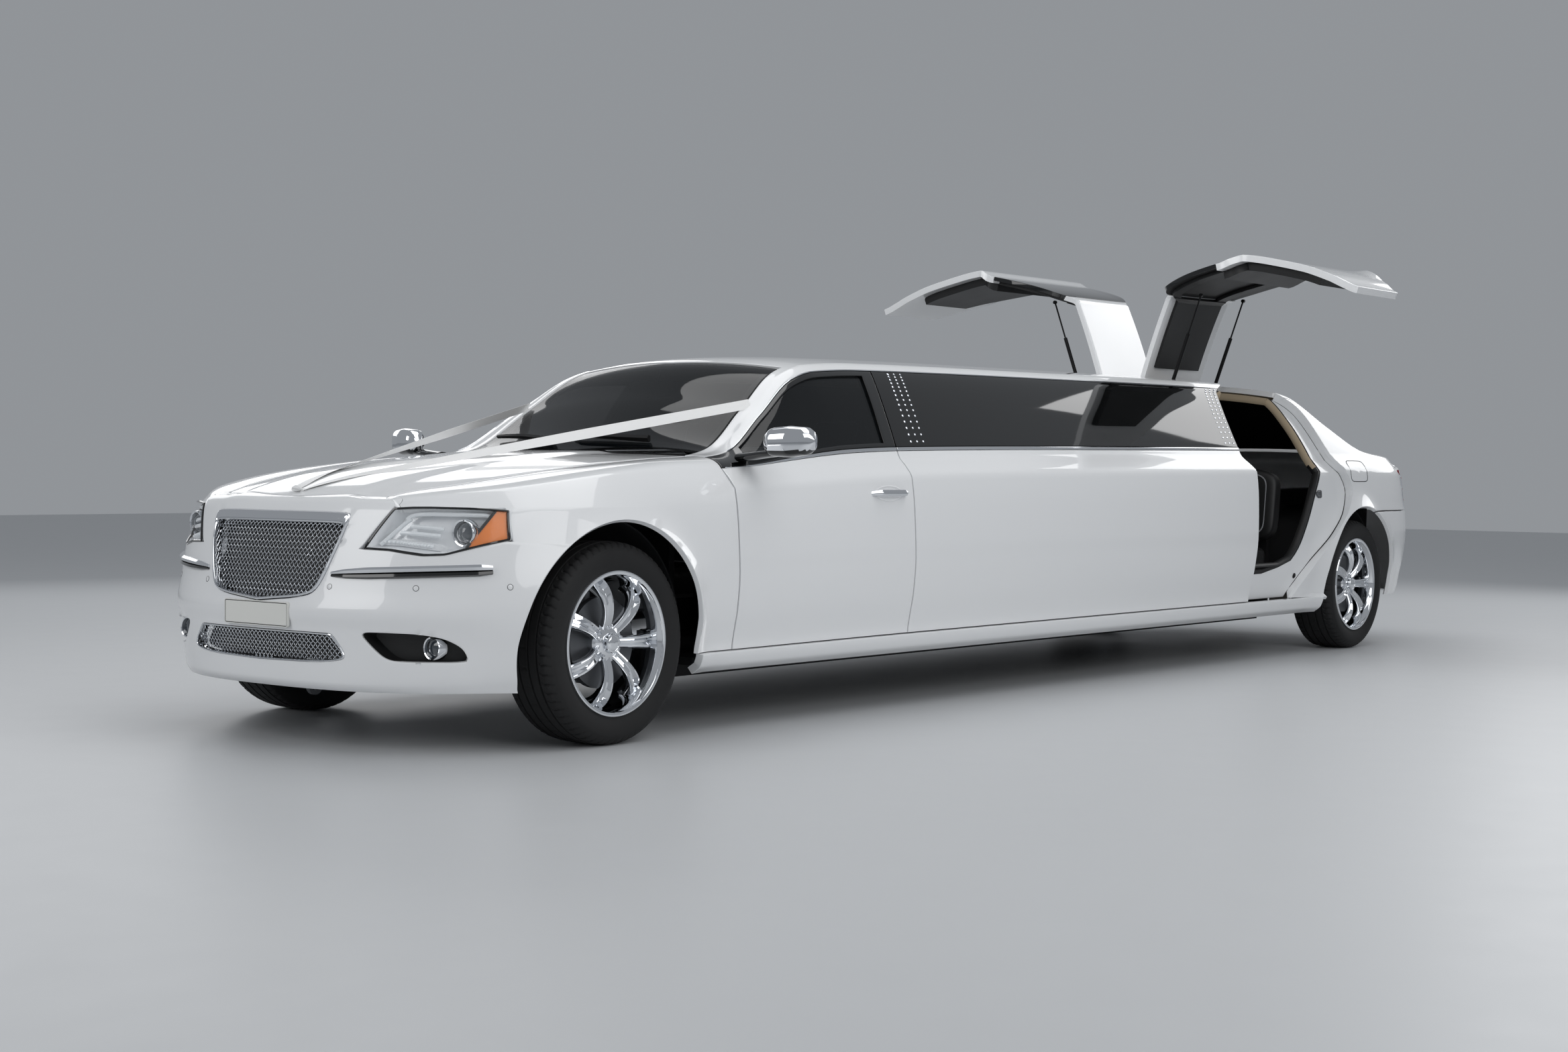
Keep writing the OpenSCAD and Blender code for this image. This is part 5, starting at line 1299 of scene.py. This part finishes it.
def tailSpot(u, v, ahead=0.0):
    z = tailLamp["low"] + (tailLamp["high"] - tailLamp["low"]) * np.asarray(v, float)
    first = np.arcsin(np.clip(tailLamp["inner"] / faceWidth(z, xR), 0, 1) ** (car["tailPower"] / 2))
    return tailTurn(first + (tailLamp["outer"] - first) * np.asarray(u, float), z, ahead)


def tailOut(u):
    turn = tailLamp["outer"] * u
    return unit(np.stack([-np.cos(turn), np.sin(turn), 0 * u], 1))


v, u = np.meshgrid(np.linspace(0, 1, 17), np.linspace(0, 1, 33), indexing="ij")
bothSides("tailLens", sheetOf(tailSpot(u, v), 0.014, 0.003), ["redLens"], stands=(["tail_lamps"], []))
rimU, rimV = rimOf(30, 14).T
bothSides("tailBezel", sweep(tailSpot(rimU, rimV), tailOut(rimU), ringProfile(tailLamp["bezel"], 8, 0.7),
                             True),
          ["chrome"], solid=True)
# Filler between the lamp's top and the panel over it
lampTop = tailSpot(np.linspace(0, 1, 16), np.full(16, 1.02))
lampFiller = np.stack([lampTop + (overRows[0] - lampTop) * s for s in np.linspace(0, 1, 6)])
bothSides("tailFiller", sheetOf(lampFiller, 0.012, 0.002), paintedPanel)
barU = np.linspace(0.06, 0.94, 40)
barParts = [sweep(tailSpot(barU, np.full(40, height)), tailOut(barU), ringProfile(tailLamp["bar"], 10, 0.5))
            for height in tailLamp["bars"]]
bothSides("tailBars", joined(*barParts), ["redGuide"], solid=True)
print("tail lamps made")

# Satin ribbons from a knot on the hood's front edge to the screen pillars
ribbon = dict(wide=0.042, thick=0.0008, knot=(xF + 0.700, 0.0), lie=xF + 0.40, tie=(xF - 1.10, 2.02), rows=90,
              knotSize=0.016, twist=math.radians(62), lift=0.0035)
hoodY = np.linspace(0.020, 0.135, 30)
hoodX = np.linspace(ribbon["knot"][0] - 0.005, ribbon["lie"], 30)
hoodTs = 3 - hoodY / edgeY(hoodX)
lying = domed(skin(hoodX, hoodTs), hood) + [0, 0, ribbon["lift"]]
tieSpot = skin(*ribbon["tie"]) + skinOut(*ribbon["tie"]) * 0.003
free = lying[-1] + (tieSpot - lying[-1]) * np.linspace(0, 1, ribbon["rows"] - 28)[:, None]
route = np.concatenate([lying, free[1:]])
# The route leaves the hood only where the straight run is above it
over = domed(skin(route[:, 0], 3 - np.clip(route[:, 1] / edgeY(route[:, 0]), 0, 1)), hood)
route[:, 2] = np.where(route[:, 0] > xF - 0.5, np.maximum(route[:, 2], over[:, 2] + ribbon["lift"]),
                       route[:, 2])
for _ in range(6):
    route[1:-1] = (route[:-2] + route[1:-1] * 2 + route[2:]) / 4
tangent = unit(np.gradient(route, axis=0))
twist = np.clip((route[0, 0] - route[:, 0]) / 1.1, 0, 1)[:, None]
sideways = unit(np.cross(tangent, [0, 0, 1.0]))
# It turns on edge on the way to the pillar
upright = unit(np.cross(sideways, tangent))
sideways = unit(sideways * np.cos(twist * ribbon["twist"]) - upright * np.sin(twist * ribbon["twist"]))
narrow = np.interp(np.linspace(0, 1, len(route)), [0, 0.06, 1], [0.35, 1, 1])[:, None]
shares = np.linspace(-0.5, 0.5, 7)
satin = np.stack([route + sideways * (ribbon["wide"] * w * narrow) for w in shares], 1)
satinSheet = sheetOf(satin, ribbon["thick"], 0.0003)
for sideName, part, nodes in (("Left", satinSheet, ["ribbons_front"]),
                              ("Right", flipped(satinSheet), ["ribbons_rear"])):
    strap = piece("ribbon" + sideName, part, ["satinRibbon"], None, nodes, solid=True)
    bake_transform(strap)
knotSpot = domed(skin(np.array([ribbon["knot"][0]]), np.array([3.0])), hood)[0] + [0, 0, 0.010]
knotTurn = fullTurn(40)
loopParts = []
for lean in (-0.9, 0.0, 0.9):
    loopLine = np.stack([knotSpot[0] + ribbon["knotSize"] * 0.8 * np.cos(knotTurn) * math.cos(lean),
                         knotSpot[1] + ribbon["knotSize"] * (np.sin(knotTurn) * 1.1 + 0.4 * np.sin(lean)),
                         knotSpot[2] + ribbon["knotSize"] * 0.6 * np.cos(knotTurn) * math.sin(lean + 0.6)], 1)
    loopParts.append(sweep(loopLine, [0, 0, 1.0], ringProfile(0.006, 8, 0.8), True))
piece("ribbonKnot", joined(*loopParts), ["satinRibbon"], "hood", solid=True)
print("ribbons made")

# Seats: crowned cushions with seams and piping over moulded bases
seat = dict(floor=0.245, front=(xF - 1.56, 0.37, 0.52), lean=math.radians(16), rear=(xR + 0.54, 0.72),
            side=(xR + 1.10, 1.98, -0.76), square=0.38, groove=0.010, grooveWide=0.010, pipe=0.0042)


def cushion(centre, axes, size, crown, seams=((), ()), bolster=0.0):
    # size is length, width and height; seams are shares along the length and across the width, from -1 to 1
    along, across, up = [unit(np.array(a, float)) for a in axes]
    half, wide, tall = [v / 2 for v in size]
    turn = fullTurn(56)
    y, z = squircle(turn, seat["square"])
    stops = np.sin(np.linspace(-1, 1, 61) * math.pi / 2) * 0.999
    rings = []
    for s in stops:
        k = (1 - abs(s) ** 7) ** (1 / 7)
        shareY = y * k
        groove = sum(np.exp(-(((s - a) * half) / seat["grooveWide"]) ** 2) for a in seams[0]) + 0 * y
        groove = groove + sum(np.exp(-(((shareY - b) * wide) / seat["grooveWide"]) ** 2) for b in seams[1])
        lift = crown * (1 - shareY ** 2) * (1 - s * s)
        lift = lift + bolster * np.clip((np.abs(shareY) - 0.55) / 0.3, 0, 1) ** 2
        upper = np.clip(z, 0, 1)
        height = z * k * tall + upper * (lift - seat["groove"] * np.minimum(groove, 1) * k)
        middle = np.asarray(centre) + along * (s * half)
        rings.append(middle + shareY[:, None] * wide * across + height[:, None] * up)
    edge = 0.707 ** seat["square"]
    corner = fullTurn(96)
    c, n = squircle(corner, 0.28)
    cord = np.asarray(centre) + c[:, None] * along * half * 0.93 + n[:, None] * across * wide * edge
    cord = cord + up * tall * edge
    return loft(rings), sweep(cord, up, ringProfile(seat["pipe"], 6), True)


def seatBase(low, high, inset):
    # Moulded plinth with a kicked-in foot
    rings = []
    for share, draw in ((0, inset + 0.02), (0.0, inset), (0.55, inset * 0.4), (0.9, 0.004), (1.0, 0.0),
                        (1.0, 0.03)):
        x0, x1, y0, y1 = low[0] + draw, high[0] - draw, low[1] + draw, high[1] - draw
        z = low[2] + (high[2] - low[2]) * share
        a = fullTurn(64)
        c, n = squircle(a, 0.2)
        rings.append(np.stack([(x0 + x1) / 2 + c * (x1 - x0) / 2, (y0 + y1) / 2 + n * (y1 - y0) / 2,
                               np.full(64, z)], 1))
    return loft(rings)


def seatPieces(name, pads, base, stands):
    for k, (pad, cord) in enumerate(pads):
        obj = piece(f"{name}Pad{k}", pad, ["blackLeather"], stands=stands if k == 0 else (), solid=True,
                    sharp=60)
        piece(f"{name}Piping{k}", cord, ["greyPiping"], solid=True)
    piece(name + "Base", base, ["blackPlastic"], solid=True)


seatX, seatY, seatW = seat["front"]
lean = seat["lean"]
backUp = np.array([-math.sin(lean), 0, math.cos(lean)])
backOut = np.array([math.cos(lean), 0, math.sin(lean)])
xAxis, yAxis, zAxis = np.eye(3)
for sideName, sign in (("Left", 1), ("Right", -1)):
    y = sign * seatY
    foot = np.array([seatX - 0.25, y, seat["floor"] + 0.30])
    pads = [cushion((seatX + 0.005, y, seat["floor"] + 0.225), (xAxis, yAxis, zAxis), (0.50, seatW, 0.13),
                    0.012, ((-0.30, 0.12, 0.52), (-0.58, 0.58)), 0.022),
            cushion(foot + backUp * 0.265 - backOut * 0.060, (backUp, yAxis, backOut),
                    (0.52, seatW - 0.02, 0.11), 0.010, ((-0.55, -0.18, 0.20), (-0.58, 0.58)), 0.026),
            cushion(foot + backUp * 0.615 - backOut * 0.060, (backUp, yAxis, backOut), (0.15, 0.27, 0.085),
                    0.012, ((), (0.0,)))]
    posts = [sweep(np.array([foot + backUp * h - backOut * 0.06 + yAxis * d for h in (0.50, 0.53, 0.56)]),
                   xAxis, ringProfile(0.006, 10)) for d in (-0.06, 0.06)]
    shellBack = cushion(foot + backUp * 0.265 - backOut * 0.112, (backUp, yAxis, -backOut),
                        (0.50, seatW - 0.05, 0.03), 0.006)[0]
    plinth = seatBase((seatX - 0.25, y - seatW / 2 + 0.02, seat["floor"] + 0.06),
                      (seatX + 0.25, y + seatW / 2 - 0.02, seat["floor"] + 0.175), 0.03)
    seatPieces("frontSeat" + sideName, pads, joined(plinth, shellBack), ["front_seats"] if sign > 0 else ())
    piece("headrestPosts" + sideName, joined(*posts), ["chrome"], solid=True)
benchX, benchY = seat["rear"]
tilt = math.radians(7)
benchUp = np.array([-math.sin(tilt), 0, math.cos(tilt)])
benchOut = np.array([math.cos(tilt), 0, math.sin(tilt)])
benchSeams = np.linspace(-1, 1, 7)[1:-1]
pads = [cushion((benchX + 0.345, 0, seat["floor"] + 0.275), (yAxis, xAxis, zAxis), (2 * benchY, 0.42, 0.15),
                0.020, (benchSeams, (-0.1,))),
        cushion((benchX + 0.070, 0, seat["floor"] + 0.565), (yAxis, benchUp, benchOut),
                (2 * benchY, 0.42, 0.11), 0.024, (benchSeams, (-0.15,)))]
seatPieces("rearBench", pads, seatBase((benchX + 0.01, -benchY + 0.01, seat["floor"] + 0.031),
                                       (benchX + 0.55, benchY - 0.01, seat["floor"] + 0.215), 0.03),
           ["lounge_seat"])
sideX, sideLong, sideY = seat["side"]
sideSeams = np.linspace(-1, 1, 8)[1:-1]
pads = [cushion((sideX + sideLong / 2, sideY + 0.285, seat["floor"] + 0.275), (xAxis, yAxis, zAxis),
                (sideLong, 0.38, 0.15), 0.018, (sideSeams, (0.1,))),
        cushion((sideX + sideLong / 2, sideY + 0.060, seat["floor"] + 0.52), (xAxis, zAxis, yAxis),
                (sideLong, 0.34, 0.10), 0.020, (sideSeams, (-0.15,)))]
seatPieces("sideBench", pads, seatBase((sideX, sideY + 0.01, seat["floor"] + 0.031),
                                       (sideX + sideLong, sideY + 0.47, seat["floor"] + 0.215), 0.03), ())
print("seats made")

# Bright line over the windows, stones at the ends of the long glass, fuel flap seam
trim = dict(line=(1.699, 1.716), stone=0.0052, stones=15, rows=3,
            stoneRange=(1.655, 1.085), frontInset=-0.115, rearInset=0.032, rowGap=0.046,
            flap=((-6.337, 0.948), (-6.118, 1.065)))
windowLine = patch([longRear, still(xF - 0.80)], [90], list(trim["line"]), [3], lift=0.003)
bothSides("windowLine", shell(*windowLine, 0.008, 0.003), ["chrome"])
stoneParts = []
for edge, first in ((longFront, trim["frontInset"]), (longRear, trim["rearInset"])):
    for row in range(trim["rows"]):
        for t in np.linspace(*trim["stoneRange"], trim["stones"]):
            # Each row follows the edge of the glass
            x = float(edge(t)) + first + row * math.copysign(trim["rowGap"], first)
            size = trim["stone"] * (1.0 if row else 1.15)
            stoneParts.append(lathe([[0.0004, 0.0034], [size * 0.5, 0.0034], [size, 0.0010],
                                     [size * 0.9, -0.002], [0.0004, -0.002]], skin(x, t), skinOut(x, t), 8))
bothSides("windowStones", joined(*stoneParts), ["crystal"], sharp=12, weighted=False, solid=True)
(flapX0, flapZ0), (flapX1, flapZ1) = trim["flap"]
flapC, flapN = squircle(fullTurn(72), 0.3)
flapX = xF + (flapX0 + flapX1) / 2 + flapC * (flapX1 - flapX0) / 2
flapZ = (flapZ0 + flapZ1) / 2 + flapN * (flapZ1 - flapZ0) / 2
flapT = shareOf(flapX, flapZ)
piece("fuelFlapSeam", sweep(skin(flapX, flapT), skinOut(flapX, flapT), ringProfile(0.0022, 6, 0.8), True),
      ["sealRubber"], solid=True)

# Striker loop and lamp button on the rear edge of each opening
jamb = dict(striker=(-5.785, 0.880), button=(0.045, 0.424), wire=0.0042, stand=0.0045, plate=(0.026, 0.022))
spotX, spotZ = xF + jamb["striker"][0], jamb["striker"][1]
spotT = shareOf(spotX, spotZ)
out, spot = skinOut(spotX, spotT), skin(spotX, spotT) - skinOut(spotX, spotT) * openEdge["recess"]
ahead = unit(forwardAxis - out * out[0])
rise = np.cross(out, ahead)
lift = out * jamb["stand"]
loop = rounded([spot - rise * 0.012 + lift, spot - rise * 0.012 + ahead * 0.040 + lift,
                spot + rise * 0.012 + ahead * 0.040 + lift, spot + rise * 0.012 + lift], 2)
plateC, plateN = squircle(fullTurn(40), 0.4)
plateLine = (plateC * jamb["plate"][0])[:, None] * ahead + (plateN * jamb["plate"][1])[:, None] * rise
strikerPlate = loft([spot + plateLine * k + out * h for k,
                     h in ((0.3, -0.004), (1, -0.004), (1, 0.003), (0.92, 0.005), (0.3, 0.005))])
bothSides("doorStriker", joined(sweep(loop, out, ringProfile(jamb["wire"], 10)), strikerPlate), ["castSteel"],
          solid=True)
spotT = shareOf(xR, jamb["button"][1])
spotX = float(gullRear(spotT)) + jamb["button"][0]
spot = skin(spotX, spotT) - skinOut(spotX, spotT) * openEdge["recess"]
bothSides("jambButton", lathe([[0.0004, 0.0088], [0.005, 0.0085], [0.006, 0.006], [0.013, 0.0045],
                               [0.015, 0.001], [0.015, -0.004], [0.0004, -0.004]], spot,
                              skinOut(spotX, spotT), 24), ["sealRubber"], solid=True)

# Inner mirror on its stalk behind the screen
innerMirror = dict(place=(xF - 1.205, 0.0, 1.318), half=0.125, tall=0.034, deep=0.018)
mirrorRings = []
for s in np.linspace(-1, 1, 25):
    k = max((1 - abs(s) ** 5) ** (1 / 5), 0.02)
    c, n = squircle(fullTurn(40), 0.55)
    mirrorRings.append(np.stack([innerMirror["place"][0] + c * innerMirror["deep"] * k,
                                 np.full(40, s * innerMirror["half"]),
                                 innerMirror["place"][2] + n * innerMirror["tall"] * k], 1))
glassTop = skin(xF - 1.255, 3.0) - [0, 0, 0.018]
stalk = sweep(rounded([glassTop, glassTop + [0.010, 0, -0.035], np.array(innerMirror["place"])], 2), yAxis,
              ringProfile(0.008, 10))
piece("innerMirror", joined(loft(mirrorRings), stalk), ["blackPlastic"], solid=True)
print("trim made")

# Inner panels beside the engine and the boot, with pressed beads; they close the wheel arches
bay = dict(wall=0.47, shelf=0.74, low=0.42, top=0.86, under=0.085, rear=2.70, front=3.58, bead=0.006,
           pitch=0.17)
bootSide = dict(wall=0.535, shelf=0.74, low=0.44, top=0.90, under=0.10, rear=xR - 0.68, front=xR + 0.45,
                bead=0.004, pitch=0.23, wider=0.14, wideFrom=xR - 0.47)


def innerPanel(room):
    rows = []
    for x in np.linspace(room["rear"], room["front"], 90):
        wide = room.get("wider", 0) * np.clip((room.get("wideFrom", x) - x) / 0.12, 0, 1)
        press = room["bead"] * np.clip(2.5 * math.sin(2 * math.pi * x / room["pitch"]), -1, 1)
        top = min(room["top"], skin(np.array([x]), np.array([2.0]))[0, 2] - room["under"])
        rows.append(rounded([[x, room["wall"] + wide + press, room["low"]],
                             [x, room["wall"] + wide + press, top - 0.02],
                             [x, room["wall"] + wide + 0.03, top],
                             [x, room["shelf"] + wide * 0.5, top + 0.012]], 3))
    return sheetOf(rows, 0.005, 0.001)


bothSides("innerFender", innerPanel(bay), ["underbodyBlack", "underbodyBlack"])
bothSides("bootSidePanel", innerPanel(bootSide), ["underbodyBlack", "underbodyBlack"])

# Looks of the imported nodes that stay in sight, with softened edges in metres
nodeLooks = {"floor_pan": ("underbodyBlack", 0.004), "wheel_liners": ("underbodyBlack", 0),
             "rear_axle": ("castSteel", 0.002), "front_subframe": ("castSteel", 0.003),
             "engine": ("castSteel", 0.004), "exhaust": ("exhaustSteel", 0.001),
             "dashboard": ("blackPlastic", 0.006), "steering_wheel": ("blackLeather", 0.002)}
pairLooks = {"strut_tubes": ("blackSteel", 0.001), "strut_rods": ("blackSteel", 0.0008),
             "knuckle": ("castSteel", 0.002)}
nodeLooks.update({f"{name}_{hand}": spec for name, spec in pairLooks.items() for hand in ("left", "right")})
for name, (mat, soft) in nodeLooks.items():
    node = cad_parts[name]
    node.data.materials.clear()
    node.data.materials.append(look[mat])
    if soft:
        bevel = node.modifiers.new("softEdge", "BEVEL")
        bevel.width, bevel.segments = soft, 2
        bevel.limit_method, bevel.angle_limit = "ANGLE", math.radians(35)
        bevel.use_clamp_overlap = True
print("nodes dressed")

# Floor, light and camera
stage = dict(floor="#c9cbcd", size=60.0, world="#b4b8bd", strength=0.62)
camera = dict(place=(9.0187, 6.1859, 0.9904), yaw=3.8515, pitch=-0.0359, roll=0.0091, lens=50.70,
              shift=(0.0658, 0.0135))
floorMesh = bpy.data.meshes.new("floor")
half = stage["size"] / 2
floorMesh.from_pydata([(-half, -half, 0), (half, -half, 0), (half, half, 0), (-half, half, 0)], [],
                      [(0, 1, 2, 3)])
floor = bpy.data.objects.new("floor", floorMesh)
bpy.context.scene.collection.objects.link(floor)
# Smooth sealed studio floor with a faint sheen
materialTable["studioFloor"] = dict(color=stage["floor"], rough=0.42, grain=25, lift=0.02)
look["studioFloor"] = makeMaterial("studioFloor", materialTable["studioFloor"])
floorMesh.materials.append(look["studioFloor"])
world = bpy.data.worlds.new("studio")
world.use_nodes = True
world.node_tree.nodes["Background"].inputs["Color"].default_value = linearOf(stage["world"])
world.node_tree.nodes["Background"].inputs["Strength"].default_value = stage["strength"]
bpy.context.scene.world = world
# Soft boxes: name, place, point they face, width, length, watts
lamps = [("overhead", (0.5, 1.0, 6.5), (0, 0, 0.5), 4.0, 11.0, 200),
         ("nearSide", (3.0, 8.5, 4.2), (0, 0.5, 0.6), 9.0, 3.5, 190),
         ("front", (9.5, -1.5, 4.0), (2.5, 0, 0.6), 4.0, 4.0, 120),
         ("farSide", (-2.0, -8.5, 4.0), (0, 0, 0.8), 9.0, 3.0, 120),
         ("behind", (-9.0, 1.0, 4.0), (-3.0, 0, 0.8), 4.0, 4.0, 110)]
for name, place, aim, wide, tall, watts in lamps:
    light = bpy.data.lights.new(name, "AREA")
    light.shape, light.size, light.size_y, light.energy = "RECTANGLE", wide, tall, watts
    box = bpy.data.objects.new(name, light)
    box.location = place
    box.rotation_euler = (Vector(aim) - Vector(place)).to_track_quat("-Z", "Y").to_euler()
    bpy.context.scene.collection.objects.link(box)
view = bpy.data.cameras.new("photoView")
view.lens, view.sensor_width = camera["lens"], 36
view.shift_x, view.shift_y = camera["shift"]
view.clip_end = 200
eye = bpy.data.objects.new("photoView", view)
cy, sy = math.cos(camera["yaw"]), math.sin(camera["yaw"])
cp, sp = math.cos(camera["pitch"]), math.sin(camera["pitch"])
forward, right = Vector((cy * cp, sy * cp, sp)), Vector((sy, -cy, 0))
up = right.cross(forward)
cr, sr = math.cos(camera["roll"]), math.sin(camera["roll"])
across, above = right * cr + up * sr, up * cr - right * sr
turn = Matrix((across, above, -forward)).transposed()
eye.matrix_world = Matrix.Translation(camera["place"]) @ turn.to_4x4()
bpy.context.scene.collection.objects.link(eye)
bpy.context.scene.camera = eye
bpy.context.scene.view_settings.view_transform = "Standard"
print("stage set")
